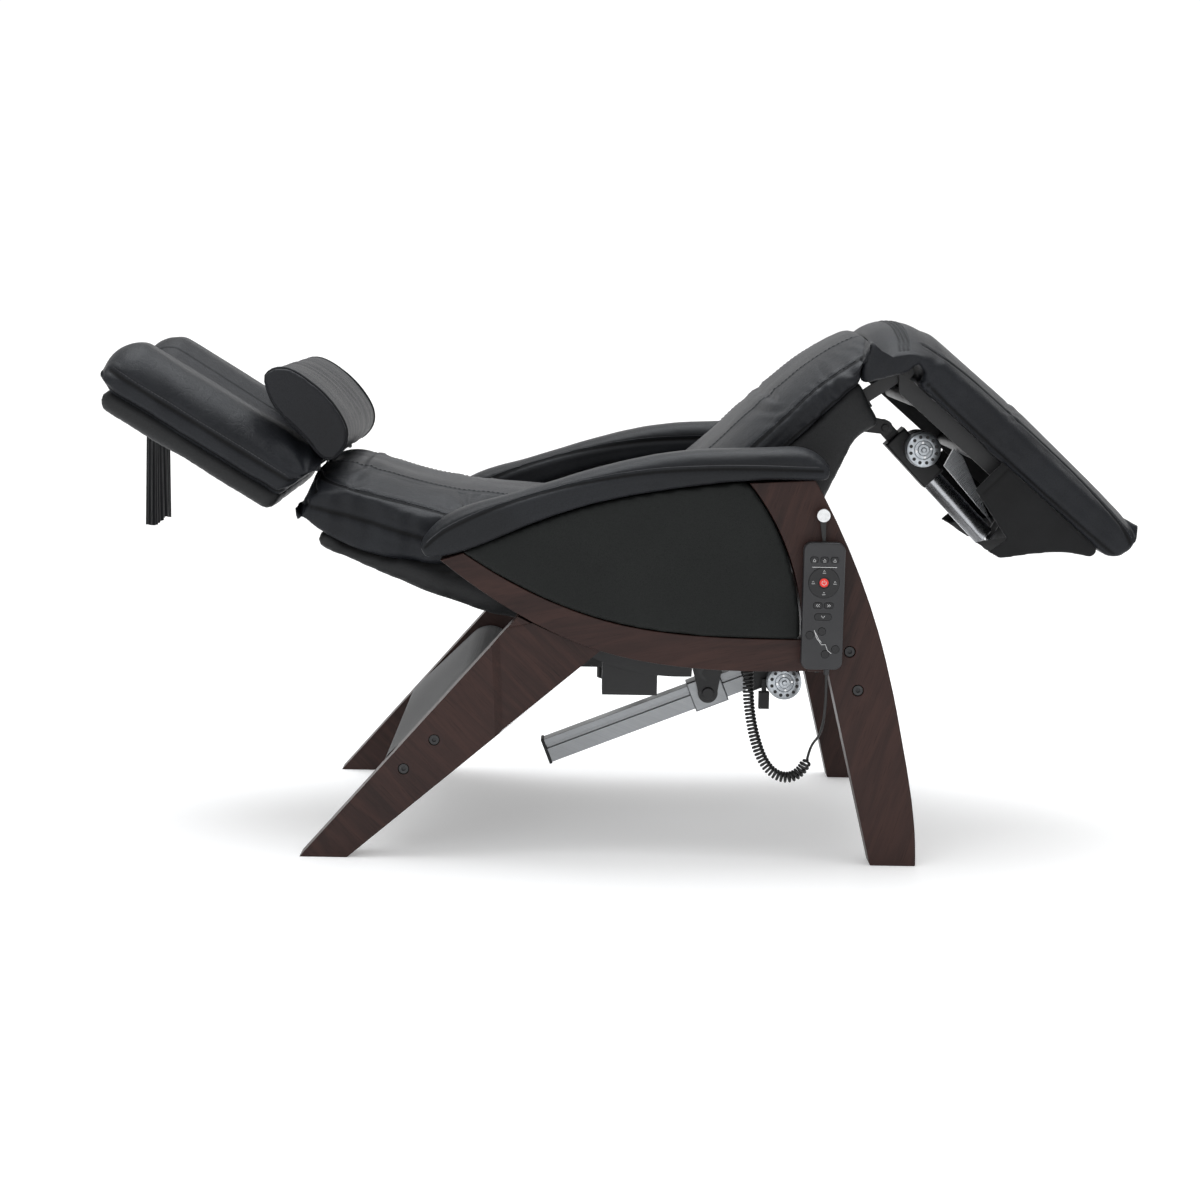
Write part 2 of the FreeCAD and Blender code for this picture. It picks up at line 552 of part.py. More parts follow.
LEG_MOTOR_ALONG = 66.0
LEG_MOTOR = LEG_DRIVE.at(LEG_MOTOR_ALONG, 20.0)


def leg_cushion():
    end = LEG_REST_LENGTH
    body = slab(-CUSHION_Y, CUSHION_Y, LEG.at(0.0, LEG_CUSHION_BOTTOM),
                [LEG.at(end - 40.0, LEG_CUSHION_BOTTOM)],
                [LEG.at(end, 12.0), LEG.at(end, 46.0), LEG.at(end - 40.0, 72.0)],
                [LEG.at(end * 0.55, LEG_CUSHION_TOP), LEG.at(0.0, LEG_CUSHION_TOP)])
    knuckle = cross_cylinder(KNEE, KNUCKLE_RADIUS, -CUSHION_Y, CUSHION_Y)
    wedge = [KNEE] + [polar(KNEE, 2 * KNUCKLE_RADIUS, degrees) for degrees in (140.0, 95.0, 49.3)]
    knuckle = knuckle.common(polygon(-CUSHION_Y, CUSHION_Y, wedge))
    bore = cross_cylinder(KNEE, KNUCKLE_BORE, -CUSHION_Y - 1.0, CUSHION_Y + 1.0)
    sector = [KNEE] + [polar(KNEE, 2 * KNUCKLE_RADIUS, degrees) for degrees in (196.0, 145.0, 95.0, 49.3)]
    cheeks = []
    for side in (-1, 1):
        low, high = sorted((side * (LEG_RAIL_Y + BRACKET_THICKNESS + 6.0), side * CUSHION_Y))
        cheeks.append(cross_cylinder(KNEE, KNUCKLE_RADIUS, low, high).common(polygon(low, high, sector)))
    return joined(joined(body, knuckle).cut(bore), *cheeks)


def leg_frame():
    """Two side plates with hinge eyes at the knee, joined by three tubes."""
    parts = []
    for side in (-1, 1):
        low, high = sorted((side * LEG_RAIL_Y, side * (LEG_RAIL_Y + BRACKET_THICKNESS)))
        bottom = LEG_RAIL_TOP - LEG_RAIL_DEPTH
        end = LEG_REST_LENGTH - 56.0
        plate = polygon(low, high, [LEG.at(-6.0, -8.0), LEG.at(8.0, LEG_RAIL_TOP), LEG.at(end, LEG_RAIL_TOP),
                                    LEG.at(end, LEG_RAIL_TOP - 12.0), LEG.at(end - 60.0, bottom),
                                    LEG.at(16.0, bottom)])
        eye = cross_cylinder(KNEE, EYE_RADIUS, low, high)
        hole = cross_cylinder(KNEE, KNEE_PIN_RADIUS + RUNNING, low - 1.0, high + 1.0)
        parts.append(plate.fuse(eye).cut(hole))
    for along in CROSS_TUBES:
        parts.append(cross_cylinder(LEG.at(along, CROSS_TUBE_UP), CROSS_TUBE_RADIUS, -LEG_RAIL_Y, LEG_RAIL_Y))
    return joined(*parts)


def knee_lugs():
    """Seat-side half of the knee hinge: two lugs with their pins."""
    lugs = []
    for side in (-1, 1):
        high = LEG_RAIL_Y - SLIDING
        low = high - BRACKET_THICKNESS
        y_range = sorted((side * low, side * high))
        root = polar(KNEE, SOCKET_RADIUS + 3.0, 214.0)
        arm = Section(root, slope_of(root, KNEE))
        bar = tilted_box(arm, (0.0, math.dist(root, KNEE)), y_range, (-11.0, 11.0))
        foot = tilted_box(arm, (-2.0, 6.0), y_range, (-20.0, 20.0))
        eye = cross_cylinder(KNEE, EYE_RADIUS, *y_range)
        pin_range = sorted((side * (low + 1.0), side * (high + SLIDING + BRACKET_THICKNESS + 4.0)))
        pin = cross_cylinder(KNEE, KNEE_PIN_RADIUS, *pin_range)
        lugs.append(joined(bar, foot, eye, pin))
    return Part.makeCompound([lug.cut(NODES["seat_shell"]) for lug in lugs])


SKIRT_THICKNESS = 5.0
SKIRT_NOTCH_Y = 52.0       # half width of the gap that the actuator passes through
SKIRT_EDGE = [(424.0, -19.0), (407.0, -32.0), (368.0, -62.0), (336.0, -97.0), (314.0, -123.0)]


def leg_skirt():
    """Fabric cover under the leg rest: two side panels and a bottom sheet, open round the actuator."""
    top = LEG_RAIL_TOP
    side_outline = [LEG.at(418.0, top), LEG.at(212.0, top), LEG.at(208.0, -67.0), LEG.at(300.0, -92.0),
                    LEG.at(293.0, -127.0)]
    lower = [LEG.at(*point) for point in SKIRT_EDGE[::-1]]
    half = SHELL_Y
    solid = slab(-half, half, side_outline[0], *[[point] for point in side_outline[1:]], [lower[0]],
                 lower[1:] + [LEG.at(418.0, top)])
    inner = slab(-half + SKIRT_THICKNESS, half - SKIRT_THICKNESS, LEG.at(417.0 - SKIRT_THICKNESS, top + 1.0),
                 [LEG.at(150.0, top + 1.0)], [LEG.at(150.0, -140.0)], [LEG.at(300.0, -140.0)],
                 [LEG.at(x - 2.0, z + SKIRT_THICKNESS) for x, z in SKIRT_EDGE[::-1]]
                 + [LEG.at(417.0 - SKIRT_THICKNESS, top + 1.0)])
    notch = tilted_box(LEG, (280.0, 388.0), (-SKIRT_NOTCH_Y, SKIRT_NOTCH_Y), (-150.0, -12.0))
    return solid.cut(inner).cut(notch)


def leg_bracket():
    """Two plates that hang from the lower cross tube and hold the actuator's lower pin."""
    tube = LEG.at(CROSS_TUBES[2], CROSS_TUBE_UP)
    parts = []
    for side in (-1, 1):
        low, high = sorted((side * ROD_PLATE_Y, side * (ROD_PLATE_Y + LINK_PLATE)))
        plate = polygon(low, high, [LEG.at(CROSS_TUBES[2] - 20.0, LEG_RAIL_TOP - 2.0),
                                    LEG.at(CROSS_TUBES[2] + 24.0, LEG_RAIL_TOP - 2.0),
                                    LEG.at(355.0, -107.0), LEG.at(329.0, -107.0)])
        head = sorted((side * (ROD_PLATE_Y + LINK_PLATE - 1.0), side * (ROD_PLATE_Y + LINK_PLATE + 5.0)))
        parts.append(joined(plate, cross_cylinder(LEG_PIN, 13.0, low, high),
                            cross_cylinder(LEG_PIN, 8.0, *head)))
    spacer = tilted_box(LEG, (CROSS_TUBES[2] + 14.0, CROSS_TUBES[2] + 20.0),
                        (-ROD_PLATE_Y - 1.0, ROD_PLATE_Y + 1.0), (LEG_RAIL_TOP - 32.0, LEG_RAIL_TOP - 4.0))
    collar = cross_cylinder(tube, CROSS_TUBE_RADIUS + SEATED, -100.0, 100.0)
    return joined(*parts, spacer).cut(collar)


ROD_PLATE_Y = 24.0         # inner face of the leg bracket's plates


def leg_strut():
    """Tapered aluminium stay under the leg frame, beside the actuator's tube."""
    top = CROSS_TUBE_UP - CROSS_TUBE_RADIUS - SEATED
    return polygon(-4.0, 4.0, [LEG.at(180.0, top), LEG.at(202.0, top), LEG.at(318.0, -80.0),
                               LEG.at(188.0, -62.0)])


def leg_mount():
    """Ears under the front of the seat that hold the leg actuator's upper pin."""
    ears = []
    for side in (-1, 1):
        low, high = sorted((side * (EYE_HALF + SLIDING), side * (EYE_HALF + SLIDING + BRACKET_THICKNESS)))
        ears.append(polygon(low, high, [polar(KNEE, SOCKET_RADIUS + 19.0, 238.0), from_hip(352.0, 247.0),
                                        polar(LEG_MOUNT, 13.0, 235.0), polar(LEG_MOUNT, 13.0, 55.0)]))
        ears.append(cross_cylinder(LEG_MOUNT, 13.0, low, high))
    reach = EYE_HALF + SLIDING + BRACKET_THICKNESS + 3.0
    ears.append(cross_cylinder(LEG_MOUNT, CLEVIS_PIN_RADIUS, -reach, reach))
    return joined(*ears).cut(NODES["seat_shell"])


def leg_gearbox():
    body = tilted_box(LEG_DRIVE, (22.0, 122.0), (-GEARBOX_Y, GEARBOX_Y), (-20.0, 24.0))
    body = body.makeFillet(5.0, edges_on_plane_y(body, -GEARBOX_Y, GEARBOX_Y))
    boss = cross_cylinder(LEG_MOTOR, MOTOR_RADIUS + 1.0, -GEARBOX_Y, GEARBOX_Y)
    neck = tilted_box(LEG_DRIVE, (0.0, 30.0), (-EYE_HALF, EYE_HALF), (-12.0, 12.0))
    eye = cross_cylinder(LEG_MOUNT, 12.0, -EYE_HALF, EYE_HALF)
    hole = cross_cylinder(LEG_MOUNT, CLEVIS_PIN_RADIUS + RUNNING, -EYE_HALF - 1.0, EYE_HALF + 1.0)
    return joined(body, boss, neck, eye).cut(hole)


def along_cylinder(section, along, radius):
    start = section.at(along[0], 0.0)
    end = section.at(along[1], 0.0)
    axis = Vector(end[0] - start[0], 0, end[1] - start[1])
    return Part.makeCylinder(radius, along[1] - along[0], Vector(start[0], 0, start[1]), axis)


TUBE_END = LEG_DRIVE_LENGTH - 20.0


def leg_tube():
    tube = along_cylinder(LEG_DRIVE, (122.0, TUBE_END), TUBE_RADIUS)
    bore = along_cylinder(LEG_DRIVE, (140.0, TUBE_END + 1.0), ROD_RADIUS + RUNNING)
    return tube.cut(bore)


def leg_rod():
    """Rod that slides out of the tube, with its eye between the leg bracket's plates."""
    rod = along_cylinder(LEG_DRIVE, (145.0, LEG_DRIVE_LENGTH - 4.0), ROD_RADIUS)
    half = ROD_PLATE_Y - SLIDING
    eye = cross_cylinder(LEG_PIN, 12.0, -half, half)
    return joined(rod, eye)


# ---- under-seat electronics ---------------------------------------------------------------------
def control_box():
    """Control box with a curved tray edge, under the right half of the seat."""
    top = SHELL_FLAT_Z - SEATED
    tray = slab(-190.0, -70.0, from_hip(-88.0, top - SEAT_HEIGHT), [from_hip(-60.0, -128.0)],
                [from_hip(-12.0, -146.0), from_hip(50.0, -157.0), from_hip(106.0, -158.0)],
                [from_hip(112.0, top - SEAT_HEIGHT)])
    case = box((HIP_X - 42.0, HIP_X + 50.0), (-165.0, -85.0), (SEAT_HEIGHT - 195.0, SEAT_HEIGHT - 140.0))
    return joined(tray, case)


def air_pump():
    """Massage air pump with a rounded can, under the left half of the seat."""
    top = SHELL_FLAT_Z - SEATED
    body = box((HIP_X - 85.0, HIP_X + 60.0), (60.0, 190.0), (SEAT_HEIGHT - 185.0, top))
    can = Part.makeCylinder(34.0, 90.0, Vector(HIP_X - 15.0, 125.0, SEAT_HEIGHT - 213.0), Vector(0, 0, 1))
    return joined(body, can)


# ---- pillow and strap ---------------------------------------------------------------------------
PILLOW = Section(BACK.at(-62.0, 80.9), -46.0)
STRAP_THICKNESS = 8.0
STRAP_X = BACK.at(-BACK_LENGTH + 34.0, BACK_FLOOR)[0] + 22.4


def neck_pillow():
    half = PILLOW_WIDTH / 2
    body = slab(-half, half, PILLOW.at(-88.0, -4.0),
                [PILLOW.at(-82.0, 22.0), PILLOW.at(-40.0, 42.0), PILLOW.at(20.0, 46.0), PILLOW.at(72.0, 28.0),
                 PILLOW.at(84.0, -2.0)],
                [PILLOW.at(78.0, -22.0), PILLOW.at(40.0, -24.0), PILLOW.at(-30.0, -26.0), PILLOW.at(-88.0, -4.0)])
    return body


def pillow_strap():
    """Weighted strap that hangs over the head end and balances the pillow."""
    half = STRAP_WIDTH / 2
    blank = box((STRAP_X, STRAP_X + STRAP_THICKNESS), (-half, half), (STRAP_FOOT_Z, SEAT_HEIGHT + 400.0))
    under = NODES["back_shell"].common(blank).BoundBox.ZMin
    return box((STRAP_X, STRAP_X + STRAP_THICKNESS), (-half, half), (STRAP_FOOT_Z, under - SEATED))


# ---- handset ------------------------------------------------------------------------------------
HOOK = (FRONT_LEG_HEAD[0] + 12.0, SEAT_HEIGHT + 134.0)
HOOK_RADIUS = 4.0
KNOB_RADIUS = 10.5
HANDSET_X = HOOK[0] + 3.0
HANDSET_TOP = HOOK[1] - 42.0
HANDSET_BACK_Y = -OUTER_Y - PANEL_PROUD - 4.0
HANDSET_FRONT_Y = HANDSET_BACK_Y - HANDSET_THICKNESS
KEY_DEPTH = 4.0
KEY_PROUD = 1.2
KEY_CLEARANCE = 0.3
KEY_TRAVEL = 0.8
GLAND_RADIUS = 4.5
GLAND_LENGTH = 9.0


def on_handset(across, down):
    """Place on the handset's face: across from its middle line, down from its top edge."""
    return (HANDSET_X + across, HANDSET_TOP - down)


def round_key(place, radius):
    return lambda grow, low, high: cross_cylinder(place, radius + grow, low, high)


def bar_key(place, length, height):
    def shape(grow, low, high):
        half = length / 2 + grow
        tall = height / 2 + grow
        blank = box((place[0] - half, place[0] + half), (low, high), (place[1] - tall, place[1] + tall))
        return blank.makeFillet(min(half, tall) * 0.8, [edge for edge in blank.Edges
                                                        if edge.BoundBox.YLength > 0.5 * (high - low)])
    return shape


def ring_key(place, inner, outer):
    def shape(grow, low, high):
        ring = cross_cylinder(place, outer + grow, low, high)
        return ring.cut(cross_cylinder(place, inner - grow, low - 1.0, high + 1.0))
    return shape


KEYS = {
    "key_power": round_key(on_handset(0.0, 63.0), 7.0),
    "key_ring": ring_key(on_handset(0.0, 63.0), 9.0, 24.0),
    "key_program_1": bar_key(on_handset(-16.0, 27.0), 12.0, 9.0),
    "key_program_2": bar_key(on_handset(0.0, 27.0), 12.0, 9.0),
    "key_program_3": bar_key(on_handset(16.0, 27.0), 12.0, 9.0),
    "key_zone_1": bar_key(on_handset(-8.5, 99.0), 14.0, 9.0),
    "key_zone_2": bar_key(on_handset(8.5, 99.0), 14.0, 9.0),
    "key_mode": bar_key(on_handset(0.0, 117.0), 26.0, 10.0),
    "key_back_up": round_key(on_handset(-20.0, 146.0), 6.0),
    "key_back_down": round_key(on_handset(-1.0, 140.0), 6.0),
    "key_leg_up": round_key(on_handset(5.0, 176.0), 6.0),
    "key_leg_down": round_key(on_handset(21.0, 168.0), 6.0),
}


def handset_case():
    half = HANDSET_WIDTH / 2
    blank = box((HANDSET_X - half, HANDSET_X + half), (HANDSET_FRONT_Y, HANDSET_BACK_Y),
                (HANDSET_TOP - HANDSET_LENGTH, HANDSET_TOP))
    corners = [edge for edge in blank.Edges if edge.BoundBox.YLength > 0.5 * HANDSET_THICKNESS]
    case = blank.makeFillet(13.0, corners)
    case = case.makeFillet(3.0, edges_on_plane_y(case, HANDSET_FRONT_Y, HANDSET_BACK_Y))
    middle_y = (HANDSET_FRONT_Y + HANDSET_BACK_Y) / 2
    gland = Part.makeCylinder(GLAND_RADIUS, GLAND_LENGTH + 2.0,
                              Vector(CORD_START.x, middle_y, CORD_START.z + SEATED), Vector(0, 0, 1))
    case = joined(case, gland)
    for key in KEYS.values():
        case = case.cut(key(KEY_CLEARANCE, HANDSET_FRONT_Y - 1.0, HANDSET_FRONT_Y + KEY_DEPTH + KEY_TRAVEL + 0.4))
    return case


def handset_loop():
    """Lanyard: a ring round the hook and two strands down into the top of the case."""
    y_low = -OUTER_Y - 9.0
    thick = 4.0
    outer = cross_cylinder(HOOK, HOOK_RADIUS + SEATED + 3.5, y_low - thick, y_low)
    inner = cross_cylinder(HOOK, HOOK_RADIUS + SEATED, y_low - thick - 1.0, y_low + 1.0)
    tail = polygon(y_low - thick, y_low, [(HOOK[0] - 5.0, HOOK[1] - 5.0), (HOOK[0] + 5.0, HOOK[1] - 5.0),
                                          (HANDSET_X + 2.5, HANDSET_TOP), (HANDSET_X - 2.5, HANDSET_TOP)])
    return joined(outer, tail).cut(inner)


def handset_hook():
    """Brushed metal knob on a thin neck, screwed into the front leg."""
    neck = cross_cylinder(HOOK, HOOK_RADIUS, -OUTER_Y - 16.0, -OUTER_Y)
    knob = cross_cylinder(HOOK, KNOB_RADIUS, -OUTER_Y - 25.0, -OUTER_Y - 15.0)
    base = cross_cylinder(HOOK, HOOK_RADIUS + 4.0, -OUTER_Y - 3.0, -OUTER_Y)
    return joined(neck, knob.makeFillet(1.5, knob.Edges[:1]), base)


# ---- handset cord -------------------------------------------------------------------------------
HANDSET_CORD_Y = (HANDSET_FRONT_Y + HANDSET_BACK_Y) / 2
COIL_Y = -INNER_Y + 20.0
CORD_START = Vector(HANDSET_X + 9.0, HANDSET_CORD_Y, HANDSET_TOP - HANDSET_LENGTH - GLAND_LENGTH)

# straight stretch: from the gland down, inwards under the rail, to the coil's free end
CORD_ROUTE = [CORD_START, Vector(332.1, -389.0, 281.0), Vector(331.5, -384.5, 251.0),
              Vector(329.5, -373.0, 225.0), Vector(326.0, -354.0, 206.0), Vector(322.0, -334.0, 195.0),
              Vector(318.7, -319.0, 185.0), Vector(316.3, COIL_Y - 9.0, 174.0),
              Vector(314.0, COIL_Y - 4.0, 162.0)]
# centre line of the coil: from its free end round the bottom of the U and up to the socket
COIL_ROUTE = [CORD_ROUTE[-1], Vector(312.2, COIL_Y, 152.4), Vector(303.5, COIL_Y, 137.5),
              Vector(288.5, COIL_Y, 127.5), Vector(270.5, COIL_Y, 128.0), Vector(253.5, COIL_Y, 138.5),
              Vector(240.0, COIL_Y, 157.5), Vector(229.0, COIL_Y, 186.0), Vector(220.0, COIL_Y, 224.0),
              Vector(214.5, COIL_Y, 270.0), Vector(214.5, COIL_Y, 318.0)]


def tube_wire(points):
    """Straight runs joined by tangent arcs, and the smallest radius among them."""
    runs = [b.sub(a) for a, b in zip(points, points[1:])]
    edges = []
    here = points[0]
    radii = []
    length = 0.0
    for index in range(1, len(points) - 1):
        before = runs[index - 1]
        after = runs[index]
        turn = before.getAngle(after)
        cut = 0.45 * min(before.Length, after.Length)
        radii.append(cut / math.tan(turn / 2))
        first = points[index].sub(Vector(before).normalize().multiply(cut))
        last = points[index].add(Vector(after).normalize().multiply(cut))
        inward = Vector(after).normalize().sub(Vector(before).normalize()).normalize()
        middle = points[index].add(inward.multiply(radii[-1] / math.cos(turn / 2) - radii[-1]))
        edges.append(Part.LineSegment(here, first).toShape())
        edges.append(Part.Arc(first, middle, last).toShape())
        length += edges[-2].Length + edges[-1].Length
        here = last
    edges.append(Part.LineSegment(here, points[-1]).toShape())
    length += edges[-1].Length
    return Part.Wire(edges), radii, length


def swept_tube(name, points, radius):
    wire, radii, length = tube_wire(points)
    start = Part.Wire([Part.makeCircle(radius, points[0], points[1].sub(points[0]))])
    solid = wire.makePipeShell([start], True, False)
    share = solid.Volume / (math.pi * radius * radius * length)
    print(name, "length", round(length, 1), "radii", [round(value, 1) for value in radii],
          "volume share", round(share, 4))
    return solid


def handset_socket():
    """Socket on the inner face of the right rail, where the coiled cord plugs in."""
    end = COIL_ROUTE[-1]
    return box((end.x - 15.0, end.x + 15.0), (-INNER_Y, COIL_Y + 15.0), (end.z, end.z + 30.0))


# ---- assembly -----------------------------------------------------------------------------------
def make_seat():
    NODES["back_cushion"] = back_cushion()
    NODES["seat_cushion"] = seat_cushion()
    NODES["back_shell"] = back_shell()
    NODES["seat_shell"] = seat_shell()
    both_sides("hip_bracket", hip_bracket())
    NODES["recline_bracket"] = recline_bracket()
    NODES["leg_actuator_mount"] = leg_mount()
    NODES["control_box"] = control_box()
    NODES["air_pump"] = air_pump()
    NODES["knee_lugs"] = knee_lugs()
    NODES["neck_pillow"] = neck_pillow()
    NODES["pillow_strap"] = pillow_strap()


def make_leg_rest():
    NODES["leg_frame"] = leg_frame()
    NODES["leg_cushion"] = leg_cushion()
    NODES["leg_skirt"] = leg_skirt()
    NODES["leg_bracket"] = leg_bracket()
    NODES["leg_strut"] = leg_strut()


def make_actuators():
    NODES["actuator_clevis"] = clevis()
    NODES["recline_gearbox"] = recline_gearbox()
    NODES["recline_motor"] = motor(RECLINE_MOTOR, 38.0)
    NODES["recline_rail"] = recline_rail()
    NODES["rail_end_cap"] = rail_end_cap()
    NODES["recline_slider"] = recline_slider()
    NODES["motor_plug"] = motor_plug()
    NODES["leg_gearbox"] = leg_gearbox()
    NODES["leg_motor"] = motor(LEG_MOTOR, 38.0)
    NODES["leg_tube"] = leg_tube()
    NODES["leg_rod"] = leg_rod()


def make_handset():
    NODES["handset_hook"] = handset_hook()
    NODES["handset_case"] = handset_case()
    NODES["handset_loop"] = handset_loop()
    for name, key in KEYS.items():
        NODES[name] = key(0.0, HANDSET_FRONT_Y - KEY_PROUD, HANDSET_FRONT_Y + KEY_DEPTH)
    NODES["handset_socket"] = handset_socket()
    NODES["handset_cord"] = swept_tube("handset_cord", CORD_ROUTE, CORD_RADIUS)
    NODES["handset_coil"] = swept_tube("handset_coil", COIL_ROUTE, COIL_RADIUS)


def main():
    make_base()
    make_seat()
    make_leg_rest()
    make_actuators()
    make_handset()
    os.makedirs("parts", exist_ok=True)
    for name, shape in NODES.items():
        if not shape.isValid() or not shape.Solids:
            raise ValueError(name + " is not a valid solid")
        shape.exportStep("parts/" + name + ".step")
    print(len(NODES), "nodes")


main()
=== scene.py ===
import json
import math

import bmesh
import bpy
from mathutils import Matrix, Vector, noise
from mathutils.bvhtree import BVHTree
from mathutils.kdtree import KDTree


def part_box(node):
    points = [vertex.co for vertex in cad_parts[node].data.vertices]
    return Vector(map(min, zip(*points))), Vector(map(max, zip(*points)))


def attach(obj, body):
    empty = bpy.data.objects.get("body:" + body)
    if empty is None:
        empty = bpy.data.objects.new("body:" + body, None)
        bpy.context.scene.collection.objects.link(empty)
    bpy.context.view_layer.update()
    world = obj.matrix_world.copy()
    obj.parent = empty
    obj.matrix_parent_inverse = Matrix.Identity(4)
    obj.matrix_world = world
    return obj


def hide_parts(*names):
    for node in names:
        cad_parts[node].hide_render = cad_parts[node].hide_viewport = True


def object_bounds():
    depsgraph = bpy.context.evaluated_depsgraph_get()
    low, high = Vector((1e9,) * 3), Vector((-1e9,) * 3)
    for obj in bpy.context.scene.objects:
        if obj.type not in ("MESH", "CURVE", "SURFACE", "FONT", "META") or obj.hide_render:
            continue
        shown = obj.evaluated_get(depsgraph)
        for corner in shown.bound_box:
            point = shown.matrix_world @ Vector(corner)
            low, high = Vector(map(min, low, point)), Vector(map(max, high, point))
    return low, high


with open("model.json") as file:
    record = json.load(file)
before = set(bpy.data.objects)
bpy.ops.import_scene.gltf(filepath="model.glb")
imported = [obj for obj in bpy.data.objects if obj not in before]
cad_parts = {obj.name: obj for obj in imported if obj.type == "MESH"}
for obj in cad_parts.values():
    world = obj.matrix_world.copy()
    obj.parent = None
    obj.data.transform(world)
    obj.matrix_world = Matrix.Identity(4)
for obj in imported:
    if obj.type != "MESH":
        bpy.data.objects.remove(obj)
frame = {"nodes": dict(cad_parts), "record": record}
CAD_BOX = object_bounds()
NODES = frame["nodes"]
scene = bpy.context.scene
MM = 0.001


# ---- camera -------------------------------------------------------------------------------------
def place_camera():
    pitch, yaw, roll = 0.133337, 0.008494, 0.018325
    ahead = Vector((math.sin(yaw) * math.cos(pitch), math.cos(yaw) * math.cos(pitch), -math.sin(pitch)))
    level = ahead.cross(Vector((0, 0, 1))).normalized()
    upright = level.cross(ahead)
    right = level * math.cos(roll) + upright * math.sin(roll)
    up = upright * math.cos(roll) - level * math.sin(roll)
    lens = bpy.data.cameras.new("camera")
    lens.sensor_width = 36.0
    lens.lens = 72.9
    camera = bpy.data.objects.new("camera", lens)
    scene.collection.objects.link(camera)
    camera.matrix_world = (Matrix.Translation((-0.0595, -4.16818, 0.93144))
                           @ Matrix((right, up, -ahead)).transposed().to_4x4())
    scene.camera = camera


place_camera()


# ---- finishes -----------------------------------------------------------------------------------
class Wire:
    """A value in a finish; arithmetic on it adds the maths."""

    def __init__(self, finish, socket):
        self.finish = finish
        self.socket = socket

    def maths(self, operation, first, second):
        return self.finish.node("Math", {"operation": operation}, {0: first, 1: second})

    def __add__(self, other):
        return self.maths("ADD", self, other)

    def __sub__(self, other):
        return self.maths("SUBTRACT", self, other)

    def __rsub__(self, other):
        return self.maths("SUBTRACT", other, self)

    def __mul__(self, other):
        return self.maths("MULTIPLY", self, other)

    def __abs__(self):
        return self.maths("ABSOLUTE", self, 0.0)

    def __pow__(self, other):
        return self.maths("POWER", self, other)

    __radd__ = __add__
    __rmul__ = __mul__


class Finish:
    """A material and the one way its nodes are made."""

    def __init__(self, name, **constants):
        self.material = bpy.data.materials.new(name)
        self.material.use_nodes = True
        self.tree = self.material.node_tree
        self.shader = self.tree.nodes["Principled BSDF"]
        for socket, value in constants.items():
            self.shader.inputs[socket.replace("_", " ")].default_value = value

    def node(self, kind, settings=None, inputs=None, output=0):
        made = self.tree.nodes.new("ShaderNode" + kind)
        settings = dict(settings or {})
        stops = settings.pop("stops", None)
        for key, value in settings.items():
            setattr(made, key, value)
        if stops:
            ramp = made.color_ramp.elements
            for element, (place, colour) in zip([ramp[0], ramp[1]], [stops[0], stops[-1]]):
                element.position = place
                element.color = (*colour, 1)
            for place, colour in stops[1:-1]:
                ramp.new(place).color = (*colour, 1)
        for key, value in (inputs or {}).items():
            if isinstance(value, Wire):
                self.tree.links.new(value.socket, made.inputs[key])
            else:
                made.inputs[key].default_value = value
        return Wire(self, made.outputs[output])

    def place(self, turn=0.0, stretch=(1, 1, 1)):
        """Object coordinates, turned about Y and then stretched."""
        spot = self.node("TexCoord", output=3)
        if turn:
            spot = self.node("VectorRotate", {"rotation_type": "Y_AXIS"}, {"Vector": spot, "Angle": turn})
        if stretch != (1, 1, 1):
            spot = self.node("VectorMath", {"operation": "MULTIPLY"}, {0: spot, 1: stretch})
        return spot

    def mottle(self, spot, scale, detail=3.0, distortion=0.0):
        return self.node("TexNoise", None, {"Vector": spot, "Scale": scale, "Detail": detail,
                                            "Distortion": distortion})

    def blend(self, share, first, second):
        return self.node("Mix", {"data_type": "RGBA"}, {0: share, 6: first, 7: second}, output=2)

    def mark(self, name):
        """How strongly the piece's own attribute marks a spot."""
        return self.node("Attribute", {"attribute_name": name}, None, output=2)

    def between(self, value, low, high, start=0.0, end=1.0):
        return self.node("MapRange", {"interpolation_type": "SMOOTHSTEP"},
                         {0: value, 1: low, 2: high, 3: start, 4: end})

    def relief(self, height, distance, strength=1.0, under=None):
        inputs = {"Height": height, "Distance": distance, "Strength": strength}
        if under:
            inputs["Normal"] = under
        return self.node("Bump", None, inputs)

    def wear(self, **sockets):
        for socket, value in sockets.items():
            target = self.shader.inputs[socket.replace("_", " ")]
            if isinstance(value, Wire):
                self.tree.links.new(value.socket, target)
            else:
                target.default_value = value
        return self.material


def colour(red, green, blue):
    return (red, green, blue, 1.0)


